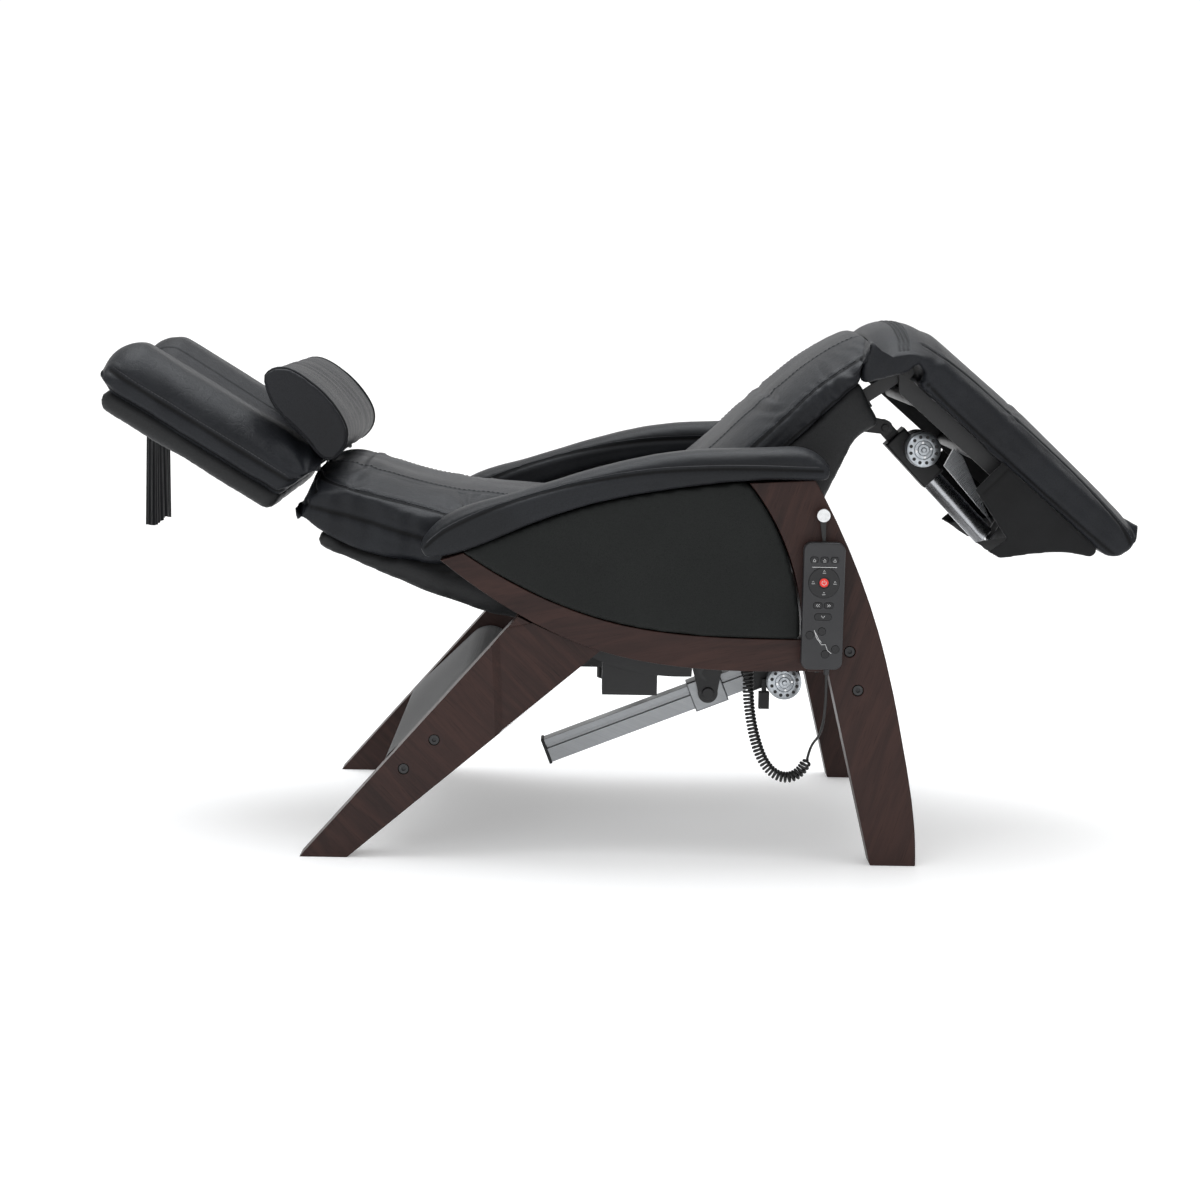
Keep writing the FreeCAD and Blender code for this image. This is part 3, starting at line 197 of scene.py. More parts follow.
def hide(name, deep, worn, roughness, grain_mm=2.2, crease=1.0, shine=0.18):
    """Leather: pebbled grain, soft creases, duller in the seams, with painted shade darkening the seam grooves."""
    made = Finish(name, Specular_IOR_Level=shine, Coat_Weight=0.04, Coat_Roughness=0.35)
    spot = made.place()
    cells = made.node("TexVoronoi", {"feature": "DISTANCE_TO_EDGE"},
                      {"Vector": spot, "Scale": 1000 / grain_mm, "Randomness": 1.0})
    pebble = made.between(cells, 0.0, 0.18)
    fine = made.mottle(spot, 900.0, 2.0)
    clouds = made.mottle(spot, 7.0, 4.0, 0.4)
    crinkle = abs(made.mottle(spot, 26.0, 5.0, 1.6) - 0.5)
    line = made.between(crinkle, 0.0, 0.035)
    seam = made.mark("seam")
    tone = made.blend(made.between(clouds, 0.35, 0.7), deep, worn)
    tone = made.blend(made.between(pebble, 0.0, 1.0, 0.35, 0.0), tone, colour(0.002, 0.002, 0.002))
    # painted shade: the pulled-in seam grooves darkened towards black
    tone = made.blend(made.between(seam, 0.25, 1.0, 0.0, 0.85), tone, colour(0.001, 0.001, 0.001))
    gloss = roughness + (clouds - 0.5) * 0.16 + (1.0 - pebble) * 0.1 + seam * 0.3
    grain = made.relief(pebble + fine * 0.25, 0.00022, 0.55)
    folds = made.relief(line, 0.0007, 0.28 * crease, grain)
    return made.wear(Base_Color=tone, Roughness=gloss, Normal=folds)


WOOD_TONES = [(0.30, (0.0150, 0.0062, 0.0050)), (0.50, (0.0250, 0.0104, 0.0084)),
              (0.64, (0.0340, 0.0144, 0.0112)), (0.8, (0.0210, 0.0088, 0.0070))]


def stained_wood(name, turn):
    """Dark stained board with the grain along it."""
    made = Finish(name, Specular_IOR_Level=0.2, Coat_Weight=0.06, Coat_Roughness=0.3)
    spot = made.place(turn, (1.0, 9.0, 9.0))
    rings = made.mottle(spot, 6.5, 6.0, 0.9)
    pores = made.mottle(made.place(turn, (1.0, 24.0, 24.0)), 30.0, 3.0)
    patch = made.mottle(made.place(), 3.5, 3.0)
    tone = made.node("ValToRGB", {"stops": WOOD_TONES},
                     {0: rings})
    tone = made.blend(made.between(pores, 0.56, 0.72, 0.0, 0.6), tone, colour(0.008, 0.0036, 0.003))
    tone = made.blend(made.between(patch, 0.35, 0.7, 0.0, 0.3), tone, colour(0.046, 0.020, 0.016))
    gloss = 0.36 + rings * 0.12 + made.between(pores, 0.5, 0.7) * 0.12
    return made.wear(Base_Color=tone, Roughness=gloss, Normal=made.relief(rings + pores * 0.7, 0.00025, 0.25))


def woven(name, deep, worn, pitch_mm=1.4, turn=0.0):
    made = Finish(name, Sheen_Weight=0.25, Sheen_Roughness=0.5, Specular_IOR_Level=0.25)
    spot = made.place(turn)
    warp = made.node("TexWave", {"bands_direction": "X"}, {"Vector": spot, "Scale": 314.0 / pitch_mm})
    weft = made.node("TexWave", {"bands_direction": "Z"}, {"Vector": spot, "Scale": 314.0 / pitch_mm})
    fuzz = made.mottle(spot, 420.0, 3.0)
    clouds = made.mottle(spot, 9.0, 4.0, 0.6)
    threads = warp * weft + fuzz * 0.5
    tone = made.blend(made.between(clouds, 0.3, 0.7), deep, worn)
    tone = made.blend(made.between(threads, 0.1, 0.9, 0.5, 0.0), tone, colour(0.001, 0.001, 0.001))
    # painted shade: the pulled-in seam grooves darkened towards black
    seam = made.between(made.mark("seam"), 0.25, 1.0, 0.0, 0.8)
    tone = made.blend(seam, tone, colour(0.0008, 0.0008, 0.0008))
    return made.wear(Base_Color=tone, Roughness=0.82 + fuzz * 0.15, Normal=made.relief(threads, 0.0004, 0.5))


def drawn_metal(name, tone, roughness, turn=0.0, stretch=(1, 90, 90), dark=0.12):
    """Metal with fine lines along its length and faint smudges."""
    made = Finish(name, Metallic=1.0)
    lines = made.mottle(made.place(turn, stretch), 14.0, 4.0)
    smudge = made.mottle(made.place(), 22.0, 4.0, 0.5)
    deep = colour(*(0.45 * part for part in tone[:3]))
    shade = made.blend(made.between(lines, 0.35, 0.65, 0.0, dark), tone, deep)
    gloss = roughness + (lines - 0.5) * 0.2 + (smudge - 0.5) * 0.12
    return made.wear(Base_Color=shade, Roughness=gloss, Normal=made.relief(lines, 0.00002, 0.25))


def moulded(name, deep, worn, roughness, pit=700.0, depth=0.00012):
    """Plastic with a spark-eroded texture."""
    made = Finish(name, Specular_IOR_Level=0.45)
    spot = made.place()
    pits = made.mottle(spot, pit, 2.0)
    clouds = made.mottle(spot, 18.0, 3.0)
    tone = made.blend(made.between(clouds, 0.35, 0.7), deep, worn)
    return made.wear(Base_Color=tone, Roughness=roughness + (clouds - 0.5) * 0.12 + (pits - 0.5) * 0.1,
                     Normal=made.relief(pits, depth, 0.6))


def coated_steel(name):
    """Black powder coat, rubbed a little in scattered patches."""
    made = Finish(name, Specular_IOR_Level=0.5)
    spot = made.place()
    peel = made.mottle(spot, 520.0, 2.0)
    rub = made.mottle(spot, 35.0, 5.0, 0.6)
    tone = made.blend(made.between(rub, 0.62, 0.75), colour(0.010, 0.010, 0.011), colour(0.035, 0.035, 0.036))
    return made.wear(Base_Color=tone, Roughness=0.38 + rub * 0.15, Normal=made.relief(peel, 0.00015, 0.5))


DRIVE_TURN = math.radians(-21.7)
LEG_TURN = math.radians(45.98)
TOP_HIDE = hide("cushion_hide", colour(0.0090, 0.0100, 0.0125),
                colour(0.0130, 0.0145, 0.0180), 0.40)
ARM_HIDE = hide("arm_hide", colour(0.0095, 0.0105, 0.0125),
                colour(0.0135, 0.0150, 0.0180), 0.42, crease=0.5)
PILLOW_HIDE = hide("pillow_hide", colour(0.0100, 0.0105, 0.0125),
                   colour(0.0145, 0.0155, 0.0185), 0.44, crease=0.6)
PANEL_HIDE = hide("panel_hide", colour(0.0095, 0.0108, 0.0103),
                  colour(0.0125, 0.0140, 0.0134), 0.62, 1.8, 0.2, 0.16)
UNDER_HIDE = hide("under_hide", colour(0.0060, 0.0064, 0.0072),
                  colour(0.0090, 0.0096, 0.0106), 0.50, 2.4, 0.8, 0.28)
UNDER_CLOTH = woven("under_cloth", colour(0.0065, 0.0066, 0.0072), colour(0.0105, 0.0108, 0.0118))
STRAP_CLOTH = woven("strap_cloth", colour(0.0050, 0.0056, 0.0080), colour(0.0085, 0.0095, 0.0130), 1.8)
FRONT_WOOD = stained_wood("front_leg_wood", math.radians(72.0))
REAR_WOOD = stained_wood("rear_leg_wood", math.radians(-45.0))
RAIL_WOOD = stained_wood("rail_wood", math.radians(12.0))
RAIL_METAL = drawn_metal("rail_aluminium", colour(0.30, 0.31, 0.32), 0.36, DRIVE_TURN)
TUBE_METAL = drawn_metal("tube_aluminium", colour(0.42, 0.43, 0.45), 0.28, LEG_TURN)
ZINC = drawn_metal("cast_zinc", colour(0.50, 0.53, 0.56), 0.32, 0.0, (12, 12, 12), 0.3)
BRIGHT = drawn_metal("bright_steel", colour(0.72, 0.73, 0.74), 0.20, 0.0, (10, 10, 10), 0.15)
BLACK_STEEL = coated_steel("black_steel")
BLACK_PLASTIC = moulded("black_plastic", colour(0.009, 0.009, 0.010), colour(0.014, 0.014, 0.015), 0.48)
CASE_PLASTIC = moulded("case_plastic", colour(0.016, 0.016, 0.018), colour(0.022, 0.022, 0.024), 0.42, 1200.0)
KEY_RUBBER = moulded("key_rubber", colour(0.007, 0.007, 0.008), colour(0.010, 0.010, 0.011), 0.55, 1500.0)
RED_KEY = moulded("red_key", colour(0.62, 0.020, 0.012), colour(0.72, 0.030, 0.018), 0.30, 1500.0, 0.00004)
WHITE_PRINT = moulded("white_print", colour(0.62, 0.62, 0.62), colour(0.70, 0.70, 0.70), 0.55, 1500.0, 0.00003)
CORD_JACKET = moulded("cord_jacket", colour(0.008, 0.008, 0.008), colour(0.012, 0.012, 0.012), 0.40, 900.0)
THREAD = moulded("thread", colour(0.020, 0.021, 0.024), colour(0.035, 0.036, 0.040), 0.6, 900.0)


# ---- making pieces ------------------------------------------------------------------------------
def link(name, mesh, finish):
    made = bpy.data.objects.new(name, mesh)
    scene.collection.objects.link(made)
    mesh.materials.clear()
    mesh.materials.append(finish)
    return made


def settle(made, body, slot, *nodes):
    """The piece rides on its body and stands for the CAD nodes it replaces; the slot is not used."""
    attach(made, body)
    if nodes:
        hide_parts(*nodes)
    return made


def mesh_from(bm, name, crisp=35.0):
    """Mesh of a finished bmesh: smooth faces, sharp where they meet at more than that many degrees."""
    for face in bm.faces:
        face.smooth = True
    for edge in bm.edges:
        edge.smooth = len(edge.link_faces) == 2 and edge.calc_face_angle(0.0) < math.radians(crisp)
    mesh = bpy.data.meshes.new(name)
    bm.to_mesh(mesh)
    bm.free()
    return mesh


def copy_of(*nodes):
    bm = bmesh.new()
    for node in nodes:
        bm.from_mesh(NODES[node].data)
    bmesh.ops.remove_doubles(bm, verts=bm.verts, dist=2e-6)
    return bm


BODY_OF = {node: body for body, members in frame["record"]["behaviour"]["bodies"].items() for node in members}
SLOT_OF = {entry["node"]: entry["material_slot"] for entry in frame["record"]["subparts"]}


def eased(node, finish, width=0.8 * MM, segments=2):
    """The CAD piece with its edges broken, as a machined, moulded or sanded piece has them."""
    bm = copy_of(node)
    bmesh.ops.dissolve_limit(bm, angle_limit=math.radians(1.5), verts=bm.verts, edges=bm.edges)
    made = link(node + "_part", mesh_from(bm, node + "_part"), finish)
    edge = made.modifiers.new("edges", "BEVEL")
    edge.width = width
    edge.segments = segments
    edge.limit_method = "ANGLE"
    edge.angle_limit = math.radians(40)
    edge.use_clamp_overlap = True
    edge.harden_normals = True
    return settle(made, BODY_OF[node], SLOT_OF[node], node)


def coords_of(mesh):
    return [vertex.co.copy() for vertex in mesh.vertices]


def soft_copy(name, nodes, finish, voxel, rounds):
    """Closed soft body from CAD solids: even mesh, edges rounded off."""
    rough = link(name + "_rough", mesh_from(copy_of(*nodes), name + "_rough"), finish)
    remesh = rough.modifiers.new("even", "REMESH")
    remesh.mode = "VOXEL"
    remesh.voxel_size = voxel
    even = bpy.data.meshes.new_from_object(rough.evaluated_get(bpy.context.evaluated_depsgraph_get()))
    bpy.data.objects.remove(rough)
    bm = bmesh.new()
    bm.from_mesh(even)
    for _ in range(rounds):
        bmesh.ops.smooth_vert(bm, verts=bm.verts, factor=0.5, use_axis_x=True, use_axis_y=True,
                              use_axis_z=True)
    for face in bm.faces:
        face.smooth = True
    bm.to_mesh(even)
    bm.free()
    even.name = name
    return link(name, even, finish)


def tree_of(made):
    return BVHTree.FromPolygons(coords_of(made.data), [tuple(face.vertices) for face in made.data.polygons])


def lower_edges(made, drop, middle=0.0):
    """Lets the top fall by drop(y, x) metres, and everything under it in proportion, down to the base."""
    tree = tree_of(made)
    spans = {}
    for vertex in made.data.vertices:
        key = round(vertex.co.x / 0.004)
        if key not in spans:
            top = tree.ray_cast(Vector((key * 0.004, middle, 2.0)), Vector((0, 0, -1)))[0]
            base = tree.ray_cast(Vector((key * 0.004, middle, -1.0)), Vector((0, 0, 1)))[0]
            spans[key] = (base.z, top.z) if top and base else None
        if spans[key]:
            base, top = spans[key]
            share = min(1.0, max(0.0, (vertex.co.z - base) / max(0.01, top - base)))
            vertex.co.z -= drop(vertex.co.y, vertex.co.x) * share
    made.data.update()


CLOTH_FRAMES = 20
CLOTH_MASS = 0.3
CLOTH_STIFFNESS = 12
CLOTH_BENDING = 0.6
LEAST_HOLD = 0.01          # weaker holds are left out


def inflate(made, pressure, cap, held):
    """Cloth under pressure, held where held(co) is 1; no point moves more than the cap."""
    rest = coords_of(made.data)
    cloth = made.modifiers.new("cloth", "CLOTH")
    settings = cloth.settings
    settings.quality = 4
    settings.mass = CLOTH_MASS
    settings.tension_stiffness = settings.compression_stiffness = settings.shear_stiffness = CLOTH_STIFFNESS
    settings.bending_stiffness = CLOTH_BENDING
    settings.use_pressure = True
    settings.uniform_pressure_force = pressure
    settings.effector_weights.gravity = 0
    cloth.collision_settings.use_collision = False
    cloth.collision_settings.use_self_collision = False
    group = made.vertex_groups.new(name="held")
    for index, co in enumerate(rest):
        weight = held(co)
        if weight > LEAST_HOLD:
            group.add([index], weight, "REPLACE")
    settings.vertex_group_mass = "held"
    for step in range(1, CLOTH_FRAMES + 1):
        scene.frame_set(step)
    swollen = bpy.data.meshes.new_from_object(made.evaluated_get(bpy.context.evaluated_depsgraph_get()))
    for vertex, old, new in zip(made.data.vertices, rest, coords_of(swollen)):
        shift = new - old
        if shift.length > cap:
            shift *= cap / shift.length
        vertex.co = old + shift
    made.modifiers.clear()
    made.vertex_groups.clear()
    bpy.data.meshes.remove(swollen)
    scene.frame_set(1)
    made.data.update()


def finer(made):
    """One level of subdivision, made real."""
    level = made.modifiers.new("finer", "SUBSURF")
    level.levels = level.render_levels = 1
    dense = bpy.data.meshes.new_from_object(made.evaluated_get(bpy.context.evaluated_depsgraph_get()))
    made.modifiers.clear()
    made.data = dense
    for face in dense.polygons:
        face.use_smooth = True


def push(made, shift):
    """Moves every point along its normal by shift(co, normal) metres."""
    mesh = made.data
    moved = [vertex.co + vertex.normal * shift(vertex.co, vertex.normal) for vertex in mesh.vertices]
    for vertex, co in zip(mesh.vertices, moved):
        vertex.co = co
    mesh.update()


def spaced(points, step):
    """Points along a smooth line through the given ones, one every step metres."""
    smooth = []
    for index in range(len(points) - 1):
        a, b = points[max(0, index - 1)], points[index]
        c, d = points[index + 1], points[min(len(points) - 1, index + 2)]
        for part in range(12):
            t = part / 12
            smooth.append(0.5 * ((2 * b) + (c - a) * t + (2 * a - 5 * b + 4 * c - d) * t * t
                                 + (3 * b - a - 3 * c + d) * t ** 3))
    smooth.append(points[-1])
    line = [smooth[0]]
    for point in smooth[1:]:
        while (point - line[-1]).length >= step:
            line.append(line[-1] + (point - line[-1]).normalized() * step)
    return line


def side_seam(made, points, side, reach=0.6):
    """Line over the piece's side: each (x, z) is thrown onto it from that side."""
    tree = tree_of(made)
    line = []
    for point in spaced([Vector((x, 0.0, z)) for x, z in points], 0.004):
        hit = tree.ray_cast(Vector((point.x, side * reach, point.z)), Vector((0, -side, 0)))[0]
        if hit is None or abs(hit.y) < abs(0.5 * (CAD_BOX[1].y)) - 0.12:
            hit = tree.find_nearest(Vector((point.x, side * 0.285, point.z)))[0]
        line.append(hit)
    return spaced(line[::3] + [line[-1]], 0.002)


def top_seam(made, points):
    """Line over the top: each (x, y) is dropped onto the piece from above."""
    tree = tree_of(made)
    line = []
    for point in spaced([Vector((x, y, 0.0)) for x, y in points], 0.006):
        hit = tree.ray_cast(Vector((point.x, point.y, 2.0)), Vector((0, 0, -1)))[0]
        if hit:
            line.append(hit)
    return spaced(line[::2] + [line[-1]], 0.002)


def sew(made, lines, depth=2.6 * MM, width=4.5 * MM):
    """Pulls the cover in along the seams and marks them; the finishes darken the marked seams as painted shade."""
    points = [point for line in lines for point in line]
    near = KDTree(len(points))
    for index, point in enumerate(points):
        near.insert(point, index)
    near.balance()
    mesh = made.data
    marks = []
    moved = []
    for vertex in mesh.vertices:
        away = near.find(vertex.co)[2]
        pull = math.exp(-(away / width) ** 2)
        marks.append(pull if away < 3 * width else 0.0)
        lip = math.exp(-((away - 2.4 * width) / (1.3 * width)) ** 2)
        moved.append(vertex.co - vertex.normal * (depth * pull - 0.3 * depth * lip))
    for vertex, co in zip(mesh.vertices, moved):
        vertex.co = co
    old = mesh.attributes.get("seam")
    if old:
        marks = [max(mark, entry.value) for mark, entry in zip(marks, old.data)]
    else:
        old = mesh.attributes.new("seam", "FLOAT", "POINT")
    old.data.foreach_set("value", marks)
    mesh.update()


def stitches(name, made, lines, aside, body, slot, pitch=6.0 * MM):
    """Top stitching beside the seams: short threads that follow the cover."""
    tree = tree_of(made)
    bm = bmesh.new()
    for line in lines:
        for index in range(2, len(line) - 3, max(1, round(pitch / 0.002))):
            along = (line[index + 1] - line[index - 1]).normalized()
            spot, normal = tree.find_nearest(line[index] + aside)[:2]
            if spot is None or (spot - line[index]).length > 0.02:
                continue
            across = normal.cross(along).normalized()
            turn = Matrix((along, across, normal)).transposed().to_4x4()
            bmesh.ops.create_cube(bm, size=1.0, matrix=Matrix.Translation(spot + normal * 0.0003) @ turn
                                  @ Matrix.Diagonal((0.0042, 0.0010, 0.0010, 1.0)))
    mesh = mesh_from(bm, name, 80.0)
    return settle(link(name, mesh, THREAD), body, slot)


def tube(name, points, radius, finish, closed=False, sides=3):
    """A round bead along a line, made a mesh."""
    curve = bpy.data.curves.new(name, "CURVE")
    curve.dimensions = "3D"
    curve.bevel_depth = radius
    curve.bevel_resolution = sides
    curve.use_fill_caps = True
    spline = curve.splines.new("POLY")
    spline.points.add(len(points) - 1)
    for control, point in zip(spline.points, points):
        control.co = (*point, 1.0)
    spline.use_cyclic_u = closed
    guide = bpy.data.objects.new(name + "_guide", curve)
    scene.collection.objects.link(guide)
    mesh = bpy.data.meshes.new_from_object(guide.evaluated_get(bpy.context.evaluated_depsgraph_get()))
    bpy.data.objects.remove(guide)
    for face in mesh.polygons:
        face.use_smooth = True
    return link(name, mesh, finish)


def mirrored(made, name):
    mesh = made.data.copy()
    mesh.transform(Matrix.Scale(-1, 4, (0, 1, 0)))
    mesh.flip_normals()
    return link(name, mesh, made.data.materials[0])


def wave(co, scale, seed=0.0):
    return noise.noise(Vector((co.x * scale + seed, co.y * scale, co.z * scale)))


# ---- cord: straight lead, then the curly part, one wire -----------------------------------------
LEAD = [(0.3315, -0.389, 0.312), (0.3321, -0.389, 0.281), (0.3315, -0.3845, 0.251), (0.3295, -0.373, 0.225),
        (0.3260, -0.354, 0.206), (0.3220, -0.334, 0.195), (0.3187, -0.319, 0.185), (0.3163, -0.309, 0.174),
        (0.3140, -0.304, 0.162)]
COIL = [(0.3140, -0.304, 0.162), (0.3122, -0.300, 0.1524), (0.3035, -0.300, 0.1375), (0.2885, -0.300, 0.1275),
        (0.2705, -0.300, 0.128), (0.2535, -0.300, 0.1385), (0.2400, -0.300, 0.1575), (0.2290, -0.300, 0.186),
        (0.2200, -0.300, 0.224), (0.2145, -0.300, 0.270), (0.2145, -0.300, 0.318)]
CORD_THICKNESS = 4.4 * MM
COIL_TURNS = 43
COIL_TURN_RADIUS = 7.3 * MM
TURN_POINTS = 12


def spline_in(curve, points):
    spline = curve.splines.new("NURBS")
    spline.points.add(len(points) - 1)
    for control, point in zip(spline.points, points):
        control.co = (*point, 1.0)
    spline.order_u = 3
    spline.use_endpoint_u = True


def route_line(points):
    """Points read from the route's own spline."""
    curve = bpy.data.curves.new("coil_route", "CURVE")
    curve.dimensions = "3D"
    curve.resolution_u = 24
    spline_in(curve, points)
    guide = bpy.data.objects.new("coil_route", curve)
    scene.collection.objects.link(guide)
    mesh = bpy.data.meshes.new_from_object(guide.evaluated_get(bpy.context.evaluated_depsgraph_get()))
    line = [vertex.co.copy() for vertex in mesh.vertices]
    bpy.data.objects.remove(guide)
    return line


def curly(points):
    """Helix round the route, opening out of the lead and closing into the socket."""
    line = route_line(points)
    lengths = [0.0]
    for before, after in zip(line, line[1:]):
        lengths.append(lengths[-1] + (after - before).length)
    total = lengths[-1]
    count = COIL_TURNS * TURN_POINTS
    helix = []
    at = 0
    side = Vector((0, 1, 0))
    for index in range(1, count):
        share = index / count
        far = total * (0.012 + 0.976 * share)
        while lengths[at + 1] < far:
            at += 1
        part = (far - lengths[at]) / (lengths[at + 1] - lengths[at])
        spot = line[at].lerp(line[at + 1], part)
        along = (line[at + 1] - line[at]).normalized()
        side = (side - along * side.dot(along)).normalized()
        other = along.cross(side)
        opening = min(1.0, index / (1.3 * TURN_POINTS), (count - index) / (1.2 * TURN_POINTS))
        turn = 2 * math.pi * index / TURN_POINTS
        reach = COIL_TURN_RADIUS * opening * (1.0 + 0.035 * math.sin(share * 17.0))
        helix.append(spot + (side * math.cos(turn) + other * math.sin(turn)) * reach)
    return helix


cord_curve = bpy.data.curves.new("handset_lead", "CURVE")
cord_curve.dimensions = "3D"
cord_curve.bevel_depth = CORD_THICKNESS / 2
cord_curve.bevel_resolution = 2
cord_curve.resolution_u = 4
spline_in(cord_curve, [Vector(point) for point in LEAD[:-1]] + curly([Vector(point) for point in COIL])
          + [Vector((0.2145, -0.300, 0.3165)), Vector((0.2145, -0.300, 0.318))])
lead = bpy.data.objects.new("handset_lead", cord_curve)
scene.collection.objects.link(lead)
cord_curve.materials.append(CORD_JACKET)
settle(lead, "base", "cord_rubber", "handset_cord", "handset_coil")


# ---- cushions -----------------------------------------------------------------------------------
BODY_PRESSURE = 3.0        # in the head, seat and leg cushions
BODY_SWELL = 2.5 * MM
SMALL_PRESSURE = 2.0       # in the pillow and the arm rests
SMALL_SWELL = 4.0 * MM
LIGHT_HOLD = 0.3           # how firmly a cover is held where its filling gives
CUSHION_HALF = 0.285
SEAT_SEAM = [(-0.5050, 0.603), (-0.4785, 0.595), (-0.3775, 0.568), (-0.2725, 0.543), (-0.1675, 0.523),
             (-0.0475, 0.519), (0.0525, 0.544), (0.1325, 0.592), (0.2125, 0.660), (0.2715, 0.717),
             (0.3175, 0.760), (0.3755, 0.799), (0.4060, 0.814)]
HEAD_SEAM = [(-0.8155, 0.766), (-0.7500, 0.727), (-0.6500, 0.667), (-0.5450, 0.604), (-0.5100, 0.585)]
KNEE = Vector((0.4605, 0.0, 0.785))
LEG_ALONG = Vector((math.cos(math.radians(-40.7)), 0.0, math.sin(math.radians(-40.7))))
LEG_UP = Vector((-LEG_ALONG.z, 0.0, LEG_ALONG.x))


def on_leg(along, up):
    spot = KNEE + LEG_ALONG * (along * MM) + LEG_UP * (up * MM)
    return (spot.x, spot.z)


def rounded_side(y, reach, depth, power=2.6):
    """How far an edge at half-width reach has fallen, with a soft shoulder."""
    return depth * min(1.0, abs(y) / reach) ** power


def head_drop(y, x):
    """Bolsters along both sides, with the middle sunk between them."""
    away = abs(y)
    fall = 0.040 * max(0.0, (away - 0.205) / 0.080) ** 1.8
    share = min(1.0, max(0.0, (away - 0.060) / 0.110))
    return fall + 0.030 * (1.0 - share * share * (3.0 - 2.0 * share))


def ripple(co, normal):
    """Upright folds in the side band, soft unevenness on top."""
    side = abs(normal.y)
    upright = noise.noise(Vector((co.x * 42.0, co.z * 9.0, co.y)))
    return 0.0012 * side * upright + 0.0010 * (1.0 - side) * wave(co, 16.0)


def crease(co, place, reach):
    """Nearness to a crosswise line at place (x, z)."""
    return math.exp(-(((co.x - place[0]) ** 2 + (co.z - place[1]) ** 2) / reach ** 2))


def pull_folds(co, place, reach, pitch, depth, seed):
    """Folds that run out from a gathered spot and fade."""
    offset = Vector((co.x - place[0], 0.0, co.z - place[1]))
    away = offset.length
    angle = math.atan2(offset.z, offset.x)
    fold = math.sin(angle * pitch + seed + 1.7 * wave(co, 11.0, seed))
    return depth * fold * math.exp(-((away - 0.35 * reach) / (0.5 * reach)) ** 2)


def make_head():
    made = soft_copy("head_cushion", ["back_cushion"], TOP_HIDE, 0.0065, 3)
    lower_edges(made, head_drop)
    inflate(made, BODY_PRESSURE, BODY_SWELL, lambda co: max(LIGHT_HOLD, min(1.0, (co.x + 0.62) / 0.10)))
    finer(made)
    push(made, lambda co, normal: ripple(co, normal)
         + (0.0026 * abs(normal.y) ** 2 * noise.noise(Vector((co.x * 30.0 + co.z * 22.0, co.z * 4.0, 3.0))))
         + pull_folds(co, (-0.500, 0.60), 0.13, 9.0, 0.0016, 0.4) * (1.0 if abs(normal.y) < 0.8 else 0.4))
    lines = []
    for side in (-1, 1):
        lines.append(side_seam(made, HEAD_SEAM, side))
        lines.append(side_seam(made, [(-0.8350, 0.722), (-0.7600, 0.686), (-0.6500, 0.620), (-0.5450, 0.560),
                                      (-0.5150, 0.548)], side))
    inner = [top_seam(made, [(-0.800, side * 0.112), (-0.700, side * 0.108), (-0.600, side * 0.104),
                             (-0.520, side * 0.104)]) for side in (-1, 1)]
    sew(made, lines)
    sew(made, inner, 1.0 * MM, 3.0 * MM)
    settle(made, "seat", "leather", "back_cushion")
    stitches("head_stitches", made, [lines[0], lines[2]], Vector((0.003, 0, 0.006)), "seat", "leather")


def seat_drop(y, x):
    return rounded_side(y, CUSHION_HALF, 0.040 if x < 0.1 else 0.050, 2.8)


def make_seat():
    made = soft_copy("seat_cushion_cover", ["seat_cushion"], TOP_HIDE, 0.0085, 3)
    lower_edges(made, seat_drop)
    inflate(made, BODY_PRESSURE, BODY_SWELL,
            lambda co: min(1.0, max(0.0, (-0.40 - co.x) / 0.08, (co.x - 0.22) / 0.12)))
    finer(made)

    def shape(co, normal):
        gathered = crease(co, (0.405, 0.80), 0.11)
        waist = crease(co, (-0.49, 0.60), 0.10)
        side = abs(normal.y)
        shift = ripple(co, normal) * (1.0 + 2.0 * side)
        pleat = math.sin((co.x + co.z) * 190.0 + 5.0 * wave(co, 14.0))
        shift += side ** 1.5 * (0.0042 * gathered * pleat + (0.0040 * gathered + 0.0028 * waist) * noise.noise(
            Vector((co.x * 46.0, co.z * 14.0, 5.0))))
        shift += 0.0018 * (1.0 - side) * waist * math.sin(co.y * 55.0 + 4.0 * wave(co, 9.0))
        if co.x < -0.15:
            shift += pull_folds(co, (-0.24, 0.54), 0.16, 8.0, 0.0022, 1.1) * (1.0 if abs(co.y) > 0.16 else 0.2)
        return shift

    push(made, shape)
    near = []
    low = []
    for side in (-1, 1):
        near.append(side_seam(made, SEAT_SEAM, side))
        for points in ([(-0.505, 0.556), (-0.4200, 0.536), (-0.3200, 0.506), (-0.2500, 0.490)],
                       [(0.225, 0.618), (0.275, 0.672), (0.335, 0.722), (0.398, 0.757)]):
            low.append(side_seam(made, points, side))
    panels = [top_seam(made, [(-0.500, y), (-0.35, y * 1.02), (-0.15, y * 1.03), (0.05, y), (0.22, y), (0.33, y),
                              (0.395, y)]) for y in (-0.135, 0.135)]
    sew(made, near + low, 3.0 * MM, 5.0 * MM)
    sew(made, panels, 1.1 * MM, 2.4 * MM)
    settle(made, "seat", "leather", "seat_cushion")
    stitches("seat_stitches", made, near, Vector((-0.002, 0, 0.007)), "seat", "leather")
    stitches("seat_panel_stitches", made, panels, Vector((0, 0.006, 0)), "seat", "leather", 8.0 * MM)


